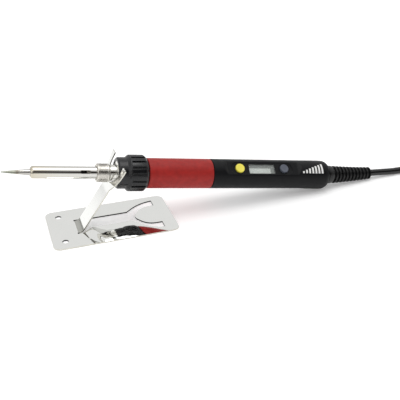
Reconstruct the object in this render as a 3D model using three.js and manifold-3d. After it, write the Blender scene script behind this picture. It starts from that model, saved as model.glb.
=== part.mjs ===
// A digital soldering iron resting in a bent sheet-metal stand, with its mains cord.
// Millimetres. +X runs from the tip to the cord, +Y goes to the back, +Z is up.
// The origin is on the bench, under the middle of the stand and the iron.

import * as THREE from 'three';
import { mergeVertices } from 'three/addons/utils/BufferGeometryUtils.js';
import Module from 'manifold-3d';

const wasm = await Module();
wasm.setup();

// Driving dimensions.

const gap = 0.3; // between pieces that touch
const rad = Math.PI / 180;

const stand = {
  left: -102.7, // X of the plate's free end
  length: 78.6,
  width: 45.8,
  sheet: 0.8,
  corner: 4.6,
  holeRadius: 1.9,
  holeX: 7.8,
  holeY: 15,
  foldX: 16.8, // from the free end to the line where the arm is folded up
  foldRadius: 5,
  notchStart: 0.3, // relief notches beside the fold, from just in front of it
  notchEnd: 3,
  notchWidth: 1.2,
  armAngle: 54.5,
  armHalfWidth: 7.5,
  headBend: 5.5, // the fork's head is steeper than the arm by this
  headBendRadius: 12,
  toHeadBend: 27.6, // straight length of the arm
  toApex: 4.2, // from the end of that bend to the bottom of the notch
  hornLength: 15,
  hornOuter: 17,
  hornInner: 11.3,
  kerf: 0.3, // the cut between the arm and the plate around it
  liftedEdge: 2.8, // how far the strip in front of the arm is twisted up
};
const heelDrop = 0.2; // how far the heel's rings sit below the iron's axis
const capRibs = 17;

const iron = {
  tipX: -125.78,
  pitch: 9.8, // degrees, tip up
  roll: 38.5, // degrees about its own axis, the panel towards the front
};

// Stations along the iron's axis, measured from the point of the tip.
const at = {
  barrel: 16.7,
  tipShank: 18.6,
  tipEnd: 50,
  nut: 56,
  nutEnd: 63.9,
  socket: 60.4,
  cap: 68.3,
  nose: 72.2,
  ring: 74.1,
  ringEnd: 87,
  grip: 87.7,
  gripEnd: 130.3,
  panel: 140.5,
  panelEnd: 191.5,
  rearScrews: 202.1,
  clampScrews: 207.6,
  heel: 210.5,
  rest: 212.7, // where the heel touches the bench
  end: 217.4,
  reliefEnd: 252.9,
};

const radius = {
  barrel: 3.8,
  thread: 4.75,
  neck: 5.05,
  nut: 5.8,
  cap: 9.85,
  ring: 11.45,
  nose: 8.1,
  noseBore: 6.6,
  grip: 9.55,
  handle: 9.6,
  handleBore: 8.1,
  heel: 9.85,
  rest: 9.75,
  relief: 6.4,
  reliefTip: 4.3,
};

const panel = {
  flat: 8.3, // height of the flat face above the axis
  floor: 7.85, // height of the recess floor
  ceiling: 6.5, // height of the wall's inner face
  recess: 142.5,
  recessEnd: 187.6,
  recessHalf: 4.4,
  lcdCentre: 165.3,
  lcdLength: 19,
  lcdWidth: 6.9,
  powerAt: 149.1,
  powerRadius: 3.1,
  setAt: 181.3,
  setRadius: 3,
  buttonTop: 9,
};

const board = { start: 143, end: 198.1, half: 6.5, low: 2, high: 3.2 };

const cord = {
  radius: 2.35,
  floor: 2.4, // height of its middle where it lies on the bench
  coilX: 203,
  coilY: 12,
  coilBase: 0.9, // the tie passes under the coil
  pitch: 4.8, // between neighbouring turns
  columns: 4,
  layers: 2,
  innerTurn: 18.3,
};
const outerTurn = cord.innerTurn + (cord.columns - 1) * cord.pitch;

const plug = {
  x: 188, // it lies across the top of the coil
  y: 0.3,
  tilt: 22, // degrees, the pins up, as it lies on its rim
  rim: 18.5,
  length: 54,
  pinRadius: 2.4,
  pinLength: 19,
  pinSpacing: 19,
};

// Colours and finishes.

const paint = {
  steel: { color: 0xd7d8d2, roughness: 0.16, metalness: 1 },
  chrome: { color: 0xe6e4de, roughness: 0.2, metalness: 1 },
  tinned: { color: 0xb9b8a6, roughness: 0.35, metalness: 1 },
  brass: { color: 0xc9a24e, roughness: 0.35, metalness: 1 },
  zinc: { color: 0x8d9094, roughness: 0.4, metalness: 1 },
  black: { color: 0x222426, roughness: 0.5, metalness: 0 },
  rubber: { color: 0x1b1c1d, roughness: 0.6, metalness: 0 },
  red: { color: 0x82251f, roughness: 0.65, metalness: 0 },
  yellow: { color: 0xf5e15a, roughness: 0.4, metalness: 0 },
  slate: { color: 0x6e7387, roughness: 0.45, metalness: 0 },
  clear: { color: 0xdfe6e2, roughness: 0.05, metalness: 0 },
  display: { color: 0xccd2cd, roughness: 0.3, metalness: 0 },
  green: { color: 0x1f5a3a, roughness: 0.5, metalness: 0 },
  ceramic: { color: 0xece7dc, roughness: 0.7, metalness: 0 },
  film: { color: 0xb8622c, roughness: 0.4, metalness: 0 },
  blue: { color: 0x2a4fa0, roughness: 0.5, metalness: 0 },
  brown: { color: 0x5d3a22, roughness: 0.5, metalness: 0 },
  lime: { color: 0x7ea73a, roughness: 0.5, metalness: 0 },
  white: { color: 0xe9e9e6, roughness: 0.5, metalness: 0 },
};

// Solids.

function outward(geometry) {
  // Turns every face round when the closed surface faces inwards.
  const p = geometry.getAttribute('position');
  const index = geometry.index.array;
  const [a, b, c] = [new THREE.Vector3(), new THREE.Vector3(), new THREE.Vector3()];
  let volume = 0;
  for (let i = 0; i < index.length; i += 3) {
    a.fromBufferAttribute(p, index[i]);
    b.fromBufferAttribute(p, index[i + 1]);
    c.fromBufferAttribute(p, index[i + 2]);
    volume += a.dot(b.cross(c));
  }
  if (volume < 0) {
    for (let i = 0; i < index.length; i += 3) {
      [index[i], index[i + 1]] = [index[i + 1], index[i]];
    }
  }
  return geometry;
}

function welded(geometry) {
  // One closed surface whose faces share their corners.
  const bare = new THREE.BufferGeometry();
  bare.setAttribute('position', geometry.getAttribute('position'));
  if (geometry.index) bare.setIndex(geometry.index);
  const merged = mergeVertices(bare, 1e-4);
  const old = merged.index.array;
  const kept = [];
  for (let i = 0; i < old.length; i += 3) {
    const [a, b, c] = [old[i], old[i + 1], old[i + 2]];
    if (a !== b && b !== c && a !== c) kept.push(a, b, c);
  }
  merged.setIndex(kept);
  return outward(merged);
}

function solid(geometry) {
  const g = welded(geometry);
  return new wasm.Manifold(
    new wasm.Mesh({
      numProp: 3,
      vertProperties: new Float32Array(g.getAttribute('position').array),
      triVerts: new Uint32Array(g.index.array),
    }),
  );
}

function surface(manifold) {
  const mesh = manifold.getMesh();
  const g = new THREE.BufferGeometry();
  g.setAttribute('position', new THREE.BufferAttribute(new Float32Array(mesh.vertProperties), 3));
  g.setIndex(new THREE.BufferAttribute(new Uint32Array(mesh.triVerts), 1));
  g.computeVertexNormals();
  return g;
}

const join = (first, ...rest) => surface(rest.reduce((m, g) => m.add(solid(g)), solid(first)));
const cut = (first, ...rest) => surface(rest.reduce((m, g) => m.subtract(solid(g)), solid(first)));
const common = (a, b) => surface(solid(a).intersect(solid(b)));

function turned(profile, segments = 24) {
  // A solid of revolution about the X axis from [station, radius] pairs.
  const points = profile.map(([x, r]) => new THREE.Vector2(r, x));
  const onAxis = points[0].x === 0 && points[points.length - 1].x === 0;
  if (!onAxis) points.push(points[0].clone());
  return welded(new THREE.LatheGeometry(points, segments).rotateZ(-Math.PI / 2));
}

function rod(from, to, r, segments = 20) {
  return turned([[from, 0], [from, r], [to, r], [to, 0]], segments);
}

function tubeOf(from, to, inner, outer, segments = 24) {
  return turned([[from, inner], [from, outer], [to, outer], [to, inner]], segments);
}

function block(x0, x1, y0, y1, z0, z1) {
  const g = new THREE.BoxGeometry(x1 - x0, y1 - y0, z1 - z0);
  return g.translate((x0 + x1) / 2, (y0 + y1) / 2, (z0 + z1) / 2);
}

function post(x, y, z0, z1, r, segments = 20) {
  // A cylinder that stands along Z.
  const g = new THREE.CylinderGeometry(r, r, z1 - z0, segments).rotateX(Math.PI / 2);
  return g.translate(x, y, (z0 + z1) / 2);
}

function prism(shape, z0, z1, curveSegments = 6) {
  const g = new THREE.ExtrudeGeometry(shape, { depth: z1 - z0, bevelEnabled: false, curveSegments });
  return g.translate(0, 0, z0);
}

function stadium(x0, x1, half) {
  // A slot outline with round ends.
  const shape = new THREE.Shape();
  shape.moveTo(x0 + half, -half);
  shape.lineTo(x1 - half, -half);
  shape.absarc(x1 - half, 0, half, -Math.PI / 2, Math.PI / 2, false);
  shape.absarc(x0 + half, 0, half, Math.PI / 2, Math.PI * 1.5, false);
  return shape;
}

function loft(rings, segments) {
  // Closed skin over circles given as { centre, across, up, r }, first to last.
  const positions = [];
  const index = [];
  for (const { centre, across, up, r } of rings) {
    for (let k = 0; k < segments; k += 1) {
      const a = (k / segments) * 2 * Math.PI;
      const p = centre.clone().addScaledVector(across, r * Math.cos(a)).addScaledVector(up, r * Math.sin(a));
      positions.push(p.x, p.y, p.z);
    }
  }
  for (let i = 0; i + 1 < rings.length; i += 1) {
    for (let k = 0; k < segments; k += 1) {
      const [a, b] = [i * segments + k, i * segments + ((k + 1) % segments)];
      index.push(a, b, a + segments, b, b + segments, a + segments);
    }
  }
  const last = (rings.length - 1) * segments;
  const ends = [rings[0].centre, rings[rings.length - 1].centre];
  ends.forEach((c) => positions.push(c.x, c.y, c.z));
  const [front, back] = [rings.length * segments, rings.length * segments + 1];
  for (let k = 0; k < segments; k += 1) {
    const next = (k + 1) % segments;
    index.push(front, next, k, back, last + k, last + next);
  }
  const g = new THREE.BufferGeometry();
  g.setAttribute('position', new THREE.Float32BufferAttribute(positions, 3));
  g.setIndex(index);
  return welded(g);
}

function wire(points, r, steps, segments = 8) {
  // A round section drawn along a smooth curve through the points.
  const stops = points.map((p) => new THREE.Vector3(...p));
  const curve = new THREE.CatmullRomCurve3(stops, false, 'centripetal');
  const section = new THREE.Shape();
  for (let k = 0; k < segments; k += 1) {
    const a = ((k + 0.5) / segments) * 2 * Math.PI;
    if (k === 0) section.moveTo(r * Math.cos(a), r * Math.sin(a));
    else section.lineTo(r * Math.cos(a), r * Math.sin(a));
  }
  return welded(new THREE.ExtrudeGeometry(section, { steps, extrudePath: curve, bevelEnabled: false }));
}

const station = new THREE.Group();
station.name = 'soldering_iron_station';

function add(parent, name, geometry, finish) {
  const mesh = new THREE.Mesh(geometry, new THREE.MeshStandardMaterial(finish));
  mesh.name = name;
  parent.add(mesh);
  return mesh;
}

// The stand: one sheet, with the fork cut out of the plate and folded up.

function forkOutline(start, grow) {
  // The arm and its head laid flat: X along the arm from the bottom of the notch.
  const [arm, outer, inner] = [stand.armHalfWidth + grow, stand.hornOuter + grow, stand.hornInner - grow];
  const tip = stand.hornLength + grow;
  const shape = new THREE.Shape();
  shape.moveTo(start, -arm);
  shape.lineTo(-3.4, -arm);
  shape.lineTo(0, -10.4 - grow);
  shape.quadraticCurveTo(6.4, -outer + 0.8, tip, -outer);
  shape.lineTo(tip, -inner);
  shape.lineTo(12.4, -inner);
  shape.quadraticCurveTo(6.2 + grow, -inner, 3 + grow, -6.4);
  shape.lineTo(0.9 + grow, -3);
  shape.quadraticCurveTo(grow, -1.6, grow, 0);
  shape.quadraticCurveTo(grow, 1.6, 0.9 + grow, 3);
  shape.lineTo(3 + grow, 6.4);
  shape.quadraticCurveTo(6.2 + grow, inner, 12.4, inner);
  shape.lineTo(tip, inner);
  shape.lineTo(tip, outer);
  shape.quadraticCurveTo(6.4, outer - 0.8, 0, 10.4 + grow);
  shape.lineTo(-3.4, arm);
  shape.lineTo(start, arm);
  return shape;
}

function smooth(low, high, value) {
  const t = Math.min(1, Math.max(0, (value - low) / (high - low)));
  return t * t * (3 - 2 * t);
}

function stripLift(x, y) {
  // How far the strip in front of the arm is twisted up, from its crease to the plate's far end.
  const crease = 20.8 - 0.4 * (y + 10.2);
  const across = Math.min(1, Math.max(0, (y + stand.width / 2) / (stand.width / 2 - stand.armHalfWidth)));
  const middle = -stand.armHalfWidth - 6.5 * smooth(54, 61, x);
  const inStrip = 1 - smooth(middle, middle + 1.6, y);
  const along = smooth(crease, crease + 6, x) * (1 - smooth(46, 74, x));
  return stand.liftedEdge * (1 - (1 - across) ** 1.8) * along * inStrip;
}

function sheetPath() {
  // The middle of the sheet from inside the plate, round the fold and up the arm.
  const path = [{ x: stand.foldX - 2, z: stand.sheet / 2, heading: 0 }];
  const last = () => path[path.length - 1];
  const straight = (length) => {
    const { x, z, heading } = last();
    path.push({ x: x + length * Math.cos(heading), z: z + length * Math.sin(heading), heading });
  };
  const bend = (r, degrees, steps) => {
    const { x, z, heading } = last();
    for (let i = 1; i <= steps; i += 1) {
      const h = heading + ((degrees * rad) / steps) * i;
      path.push({
        x: x + r * (Math.sin(h) - Math.sin(heading)),
        z: z - r * (Math.cos(h) - Math.cos(heading)),
        heading: h,
      });
    }
  };
  straight(2);
  bend(stand.foldRadius, stand.armAngle, 6);
  straight(stand.toHeadBend);
  bend(stand.headBendRadius, stand.headBend, 2);
  straight(stand.toApex);
  const apex = last();
  straight(stand.hornLength + 1);
  return { path, apex };
}

function standGeometry() {
  const { path, apex } = sheetPath();
  const half = stand.sheet / 2;
  const side = (p, d) => new THREE.Vector2(p.x - d * Math.sin(p.heading), p.z + d * Math.cos(p.heading));
  const top = path.map((p) => side(p, half));
  const bottom = path.map((p) => side(p, -half)).reverse();
  const strip = prism(new THREE.Shape([...bottom, ...top]), -20, 20).rotateX(Math.PI / 2);
  const head = prism(forkOutline(-45, 0), -16, 16).rotateY(-apex.heading).translate(apex.x, 0, apex.z);
  const fork = common(strip, head);

  const developed =
    stand.foldRadius * stand.armAngle * rad +
    stand.toHeadBend +
    stand.headBendRadius * stand.headBend * rad +
    stand.toApex;
  const slab = new THREE.BoxGeometry(stand.length, stand.width, stand.sheet, 20, 16, 1);
  slab.translate(stand.length / 2, 0, half);
  const p = slab.getAttribute('position');
  for (let i = 0; i < p.count; i += 1) {
    p.setZ(i, p.getZ(i) + stripLift(p.getX(i), p.getY(i)));
  }
  const outline = new THREE.Shape();
  const [l, w, c] = [stand.length, stand.width / 2, stand.corner];
  outline.moveTo(c, -w);
  outline.absarc(l - c, -w + c, c, -Math.PI / 2, 0, false);
  outline.absarc(l - c, w - c, c, 0, Math.PI / 2, false);
  outline.absarc(c, w - c, c, Math.PI / 2, Math.PI, false);
  outline.absarc(c, -w + c, c, Math.PI, Math.PI * 1.5, false);
  const cutout = prism(forkOutline(-developed, stand.kerf), -1, 6).translate(stand.foldX + developed, 0, 0);
  const holes = [-1, 1].map((s) => post(stand.holeX, s * stand.holeY, -1, 3, stand.holeRadius));
  const notches = [-1, 1].map((s) => {
    const middle = s * (stand.armHalfWidth + stand.notchWidth / 2);
    const [y0, y1] = [middle - stand.notchWidth / 2, middle + stand.notchWidth / 2];
    return block(stand.foldX - stand.notchStart, stand.foldX + stand.notchEnd, y0, y1, -1, 6);
  });
  const plate = cut(common(slab, prism(outline, -1, 6)), cutout, ...notches, ...holes);
  return join(plate, fork).translate(stand.left, 0, 0);
}

add(station, 'stand', standGeometry(), paint.steel);

// The iron leans on the stand and on the underside of its heel.

const lean = iron.pitch * rad;
const tipHeight = (radius.rest + heelDrop) * Math.cos(lean) + at.rest * Math.sin(lean);
const leaning = new THREE.Group();
leaning.position.set(iron.tipX, 0, tipHeight);
leaning.rotation.y = lean;
station.add(leaning);
const rolled = new THREE.Group();
rolled.rotation.x = iron.roll * rad;
leaning.add(rolled);

// Tip, barrel and the nut that holds them.

add(
  rolled,
  'tip',
  turned([
    [0, 0],
    [0.2, 0.3],
    [5.5, 0.95],
    [10.8, 1.38],
    [at.barrel, 1.95],
    [at.tipShank, 1.95],
    [at.tipShank, 3.05],
    [at.tipEnd, 3.05],
    [at.tipEnd, 2.25],
    [24, 2.25],
    [22.8, 0],
  ]),
  paint.tinned,
);

function barrelGeometry() {
  const bore = radius.barrel - 0.45;
  const tube = turned([
    [at.barrel, 2.3],
    [at.barrel, 2.7],
    [at.barrel + 0.5, 3.35],
    [at.barrel + 1.5, radius.barrel],
    [58.6, radius.barrel],
    [58.6, 4.8],
    [60.1, 4.8],
    [60.1, bore],
    [at.barrel + 1.6, bore],
    [at.barrel + 1.2, 2.3],
  ]);
  const vent = prism(stadium(45.8, 52.3, 0.95), -5, 5).rotateX(20.5 * rad);
  return cut(tube, vent);
}

add(rolled, 'barrel', barrelGeometry(), paint.chrome);

add(
  rolled,
  'barrel_nut',
  turned(
    [
      [at.nut, radius.barrel + gap],
      [at.nut, radius.nut - 0.4],
      [at.nut + 0.4, radius.nut],
      [at.nutEnd - 0.4, radius.nut],
      [at.nutEnd, radius.nut - 0.4],
      [at.nutEnd, radius.thread + gap],
      [58.2, radius.thread + gap + 0.05],
      [58.2, radius.barrel + gap],
    ],
    32,
  ),
  paint.chrome,
);

// Heater, its insulator and the socket that the barrel screws to.

add(rolled, 'heater_rod', rod(24.6, 80, 1.95, 20), paint.ceramic);

add(rolled, 'heater_insulator', tubeOf(61, 84, 2.25, 3.1, 20), paint.ceramic);

add(
  rolled,
  'heater_socket',
  turned([
    [at.socket, 3.4],
    [at.socket, radius.thread],
    [at.nutEnd + 0.4, radius.thread],
    [at.nutEnd + 0.4, radius.neck],
    [69, radius.neck],
    [69, 7.15],
    [70.2, 7.15],
    [70.2, 7.9],
    [71.8, 7.9],
    [71.8, 5.6],
    [79, 5.6],
    [79, 3.4],
  ]),
  paint.steel,
);

// The cap that screws on the handle's nose and clamps the socket's flange.

function frontCapGeometry() {
  const shell = turned(
    [
      [at.cap, 7.5],
      [at.cap, radius.cap - 0.8],
      [at.cap + 0.7, radius.cap],
      [at.ring, radius.cap],
      [at.ring + 1.8, radius.ring],
      [at.ringEnd - 1.7, radius.ring],
      [at.ringEnd, 9.9],
      [at.ringEnd, radius.nose + gap],
      [69.9, radius.nose + gap],
      [69.9, 7.5],
    ],
    51,
  );
  const grooves = [];
  for (let k = 0; k < capRibs; k += 1) {
    const g = block(at.ring + 2.3, at.ringEnd - 1, -0.7, 0.7, radius.ring - 0.9, radius.ring + 2);
    grooves.push(g.rotateX(((k + 0.5) / capRibs) * 2 * Math.PI));
  }
  return cut(shell, ...grooves);
}

add(rolled, 'front_cap', frontCapGeometry(), paint.black);

// The handle: two shells that meet on a plane through the axis, and the sleeve over their front.

function handleBody() {
  // A little fuller underneath at the heel, which rests on the bench.
  const down = new THREE.Vector3(0, -Math.sin(iron.roll * rad), -Math.cos(iron.roll * rad));
  const outline = [
    [at.nose, radius.nose, 0],
    [at.gripEnd + gap, radius.nose, 0],
    [at.gripEnd + gap, radius.handle, 0],
    [at.panelEnd + 4.5, radius.handle, 0],
    [at.heel - 6.4, radius.rest, heelDrop / 2],
    [at.heel, radius.heel, heelDrop],
    [at.rest, radius.rest, heelDrop],
    [at.end - 2.7, 9.15, 0.15],
    [at.end - 1.2, 8.1, 0.1],
    [at.end - 0.3, 6.9, 0],
    [at.end, 5.8, 0],
  ];
  const rings = outline.map(([x, r, drop]) => ({
    centre: new THREE.Vector3(x, 0, 0).addScaledVector(down, drop),
    across: new THREE.Vector3(0, 1, 0),
    up: new THREE.Vector3(0, 0, 1),
    r,
  }));
  const cavity = turned([
    [at.nose - 1, 0],
    [at.nose - 1, radius.noseBore],
    [at.gripEnd + 0.7, radius.noseBore],
    [at.gripEnd + 2.7, radius.handleBore],
    [at.end - 2.7, radius.handleBore],
    [at.end - 2.7, 4.6],
    [at.end + 1, 4.6],
    [at.end + 1, 0],
  ]);
  const roof = block(at.gripEnd, at.end - 2.6, -10, 10, panel.ceiling, 10);
  return cut(loft(rings, 32), cut(cavity, roof));
}

const screws = [
  { name: 'case_screw_front', x: 137.6, y: 0 },
  { name: 'case_screw_rear_left', x: at.rearScrews, y: -5.2 },
  { name: 'case_screw_rear_right', x: at.rearScrews, y: 5.2 },
];
const clampScrews = [
  { name: 'clamp_screw_left', x: at.clampScrews, y: -4.6 },
  { name: 'clamp_screw_right', x: at.clampScrews, y: 4.6 },
];

function handleHalf(side) {
  // Side 1 is the panel's shell and side -1 the one below it.
  const body = handleBody();
  const keep = side > 0 ? block(60, 230, -15, 15, gap / 2, 15) : block(60, 230, -15, 15, -15, -gap / 2);
  let shell = common(body, keep);
  const reach = 12;
  for (const { x, y } of screws) {
    const boss = side > 0 ? post(x, y, gap / 2, 6.6, 2.2) : post(x, y, -reach, -gap / 2, 2.6);
    shell = join(shell, common(boss, handleCore()));
  }
  return shell;
}

function handleCore() {
  // The outside of the handle behind the sleeve, to trim the bosses to.
  return rod(at.gripEnd + 0.7, at.end - 4.3, radius.handle - 0.5, 36);
}

function handleUpper() {
  const ramp = new THREE.Shape();
  ramp.moveTo(at.panel, panel.flat);
  ramp.lineTo(at.panelEnd, panel.flat);
  ramp.lineTo(at.panelEnd + 4, panel.flat + 2);
  ramp.lineTo(at.panel - 4, panel.flat + 2);
  const facet = prism(ramp, -12, 12).rotateX(Math.PI / 2);
  const recess = prism(stadium(panel.recess, panel.recessEnd, panel.recessHalf), panel.floor, 12);
  const halfLcd = panel.lcdLength / 2;
  const lcd = block(
    panel.lcdCentre - halfLcd,
    panel.lcdCentre + halfLcd,
    -panel.lcdWidth / 2,
    panel.lcdWidth / 2,
    5,
    12,
  );
  const holes = [
    post(panel.powerAt, 0, 5, 12, panel.powerRadius + gap, 24),
    post(panel.setAt, 0, 5, 12, panel.setRadius + gap, 24),
  ];
  const pilots = screws.map(({ x, y }) => post(x, y, -1, 5, 1.25, 16));
  return cut(handleHalf(1), facet, recess, lcd, ...holes, ...pilots);
}

function handleLower() {
  const pilots = screws.map(({ x, y }) => post(x, y, -12, 1, 1.25, 16));
  const headBores = screws.map(({ x, y }) => post(x, y, -12, -4, 2, 16));
  const bosses = clampScrews.map(({ x, y }) => common(post(x, y, -12, -0.6, 1.8), handleCore()));
  const holes = clampScrews.map(({ x, y }) => post(x, y, -5.2, 1, 1.15, 16));
  return cut(join(handleHalf(-1), ...bosses), ...pilots, ...headBores, ...holes);
}

add(rolled, 'handle_upper', handleUpper(), paint.black);
add(rolled, 'handle_lower', handleLower(), paint.black);

add(
  rolled,
  'grip_sleeve',
  turned(
    [
      [at.grip, radius.nose + gap],
      [at.grip, radius.grip - 0.5],
      [at.grip + 0.5, radius.grip],
      [at.gripEnd - 0.3, radius.grip],
      [at.gripEnd, radius.grip - 0.3],
      [at.gripEnd, radius.nose + gap],
    ],
    36,
  ),
  paint.red,
);

// The panel: window, display and two buttons over their switches.

add(
  rolled,
  'lcd_window',
  block(
    panel.lcdCentre - panel.lcdLength / 2 + gap,
    panel.lcdCentre + panel.lcdLength / 2 - gap,
    -panel.lcdWidth / 2 + gap,
    panel.lcdWidth / 2 - gap,
    7,
    7.6,
  ),
  paint.clear,
);

add(rolled, 'lcd_module', block(153.4, 176.6, -4.4, 4.4, 4, 6.2), paint.display);

function button(x, r) {
  return turned(
    [
      [5.6, 0],
      [5.6, r + 0.6],
      [6.2, r + 0.6],
      [6.2, r],
      [panel.buttonTop - 0.5, r],
      [panel.buttonTop, r - 0.5],
      [panel.buttonTop, 0],
    ],
    24,
  )
    .rotateY(-Math.PI / 2)
    .translate(x, 0, 0);
}

add(rolled, 'button_power', button(panel.powerAt, panel.powerRadius), paint.yellow);
add(rolled, 'button_set', button(panel.setAt, panel.setRadius), paint.slate);

add(rolled, 'switch_power', block(panel.powerAt - 3, panel.powerAt + 3, -3, 3, 3.5, 4.7), paint.black);
add(rolled, 'switch_set', block(panel.setAt - 3, panel.setAt + 3, -3, 3, 3.5, 4.7), paint.black);

// The circuit board and what it carries.

const boardBlock = block(board.start, board.end, -board.half, board.half, board.low, board.high);
add(rolled, 'circuit_board', boardBlock, paint.green);
add(rolled, 'microcontroller', block(147, 155, -3, 3, 0.1, 1.7), paint.black);
add(rolled, 'triac', block(161, 171, -4, 4, -1.6, 1.7), paint.black);
add(rolled, 'mains_capacitor', block(180, 193, -4, 4, -4.6, 1.7), paint.film);

// Wiring between the heater, the board and the cord.

const leads = [
  { name: 'heater_lead_1', y: 0.95, z: 0.95, finish: paint.white },
  { name: 'heater_lead_2', y: -0.95, z: 0.95, finish: paint.white },
  { name: 'sensor_lead_1', y: 0.95, z: -0.95, finish: paint.blue },
  { name: 'sensor_lead_2', y: -0.95, z: -0.95, finish: paint.blue },
];
leads.forEach(({ name, y, z, finish }, k) => {
  const [endY, endZ] = [(k % 2 === 0 ? 1 : -1) * (k < 2 ? 4.9 : 3.2), 2.6];
  const path = [
    [80.4, y, z],
    [90, y, z],
    [118, y * 1.6, z * 1.4],
    [134, endY, 1.6 + z * 0.4],
    [board.start - gap, endY, endZ],
  ];
  add(rolled, name, wire(path, 0.45, 8, 6), finish);
});

add(
  rolled,
  'earth_lead',
  wire(
    [
      [79.4, 0, -4.4],
      [90, 0, -5],
      [122, 0, -4.9],
      [130, 2.4, -4.6],
      [135, 4.3, -5],
      [140, 4.4, -5.2],
      [150, 3.4, -6],
      [176, 0, -6.6],
      [194, 0, -5.4],
      [199.7, 0, -2.4],
    ],
    0.6,
    24,
    6,
  ),
  paint.lime,
);

// The sheath ends in front of the clamp, and its three cores run on to the board.

const sheathStart = at.clampScrews - 4.1;
add(rolled, 'cord_sheath', rod(sheathStart, at.end - 6.5, cord.radius, 20), paint.rubber);
const cores = [
  { name: 'live_core', y: 1.2, z: 0.7, endY: 3, finish: paint.brown },
  { name: 'neutral_core', y: -1.2, z: 0.7, endY: -3, finish: paint.blue },
];
for (const { name, y, z, endY, finish } of cores) {
  const path = [
    [sheathStart - gap, y, z],
    [sheathStart - 1.9, y, z + 0.2],
    [sheathStart - 3.6, endY * 0.8, 2],
    [board.end + 0.7, endY, 2.6],
  ];
  add(rolled, name, wire(path, 0.6, 6, 6), finish);
}
const earthPath = [
  [sheathStart - 0.6, 0, -1.2],
  [sheathStart - 1.8, 0, -1.6],
  [sheathStart - 3.2, 0, -2.2],
];
add(rolled, 'earth_core', wire(earthPath, 0.6, 4, 6), paint.lime);

function clampGeometry() {
  const bar = block(at.clampScrews - 2.3, at.clampScrews + 2.3, -6.3, 6.3, cord.radius + gap, 3.75);
  return cut(bar, ...clampScrews.map(({ x, y }) => post(x, y, 2, 5, 1.2, 16)));
}
add(rolled, 'cord_clamp', clampGeometry(), paint.black);

function screw(x, y, top, length, headRadius, facing) {
  // Facing 1 puts the head at the top of the shaft and -1 at the bottom.
  const profile = [[0, 0], [0, headRadius], [0.9, headRadius], [0.9, 0.85], [length, 0.85], [length, 0]];
  const g = turned(profile, 16);
  return g.rotateY((facing > 0 ? 1 : -1) * (Math.PI / 2)).translate(x, y, top);
}
for (const { name, x, y } of clampScrews) {
  add(rolled, name, screw(x, y, 4.95, 9.6, 1.4, 1), paint.zinc);
}
for (const { name, x, y } of screws) {
  add(rolled, name, screw(x, y, -5.3, 9.6, 1.65, -1), paint.zinc);
}

// The strain relief bends up from the iron's axis towards the level of the bench.

function reliefGeometry() {
  const start = new THREE.Vector3(at.end - 5, 0, 0);
  const knee = new THREE.Vector3((at.end + at.reliefEnd) / 2, 0, 0);
  const end = new THREE.Vector3(at.reliefEnd, 0, 1.5);
  const bend = new THREE.QuadraticBezierCurve3(new THREE.Vector3(at.end + 0.3, 0, 0), knee, end);
  const across = new THREE.Vector3(0, 1, 0);
  const ring = (centre, tangent, r) => ({ centre, across, up: tangent.clone().cross(across), r });
  const ahead = new THREE.Vector3(1, 0, 0);
  const rings = [
    ring(start.clone(), ahead, 5.6),
    ring(start.clone().setX(at.end - 3.1), ahead, 5.6),
    ring(start.clone().setX(at.end - 3.1), ahead, 4.2),
    ring(start.clone().setX(at.end + gap), ahead, 4.2),
    ring(start.clone().setX(at.end + gap), ahead, radius.relief),
  ];
  const collar = 0.12;
  const ribs = 11;
  const along = (t, drop) => {
    const r = radius.relief + (radius.reliefTip - radius.relief) * t - drop;
    rings.push(ring(bend.getPointAt(t), bend.getTangentAt(t), r));
  };
  for (let k = 0; k < ribs; k += 1) {
    const [t, step] = [collar + (k / ribs) * (1 - collar), (1 - collar) / ribs];
    along(t, 0);
    along(t + step * 0.1, 1);
    along(t + step * 0.45, 1);
    along(t + step * 0.55, 0);
  }
  along(1, 0.3);
  return loft(rings, 12);
}
add(leaning, 'strain_relief', reliefGeometry(), paint.rubber);

// The cord on the bench: out of the relief, round a neat coil, and on to the plug.

const leadOut = [
  [124.2, 0, 4.4],
  [130, 0, 3.9],
  [137, 0, 3.2],
  [144, 0, 2.6],
  [151, 0, cord.floor],
  [158, -1.2, cord.floor],
  [165, -5, cord.floor],
  [171.5, -11.4, cord.floor],
  [178, -17.4, cord.floor + 0.2],
  [184, -20.65, cord.floor + 0.5],
];
add(station, 'power_cord', wire(leadOut, cord.radius, 26), paint.rubber);

const coilTop = cord.coilBase + (cord.layers - 1) * cord.pitch + 2 * cord.radius;
const coilInner = cord.innerTurn - cord.radius;
const coilOuter = outerTurn + cord.radius;
const ringProfile = [
  [cord.coilBase, coilInner],
  [cord.coilBase, coilOuter],
  [coilTop, coilOuter],
  [coilTop, coilInner],
];
const coil = turned(ringProfile, 36).rotateY(-Math.PI / 2).translate(cord.coilX, cord.coilY, 0);
add(station, 'cord_coil', coil, paint.rubber);

// The last of it turns back over the top of the coil to the plug.
const tailHeight = coilTop + gap + cord.radius;
const tailBend = 4 * 2 * cord.radius;
const tail = [150, 165, 180, 195, 210, 225, 240, 252].map((angle) => [
  plug.x + 2.9 + tailBend * Math.cos(angle * rad),
  plug.y + tailBend * (1 + Math.sin(angle * rad)),
  tailHeight,
]);
tail.push([plug.x - 1.4, plug.y + 0.12, tailHeight + 0.2]);
add(station, 'cord_tail', wire(tail, cord.radius, 18), paint.rubber);

function tieGeometry() {
  const [thick, half] = [0.5, 2.5];
  const [x0, x1] = [coilInner - 0.6 - thick, coilOuter + gap + thick];
  const [z0, z1] = [cord.coilBase - gap - thick, coilTop + gap + thick];
  const outside = block(x0, x1, -half, half, z0, z1);
  const inside = block(x0 + thick, x1 - thick, -half - 1, half + 1, z0 + thick, z1 - thick);
  return cut(outside, inside).rotateZ(-55 * rad).translate(cord.coilX, cord.coilY, 0);
}
add(station, 'cord_tie', tieGeometry(), paint.white);

// The plug lies on its rim, with the cord end down.

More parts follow.
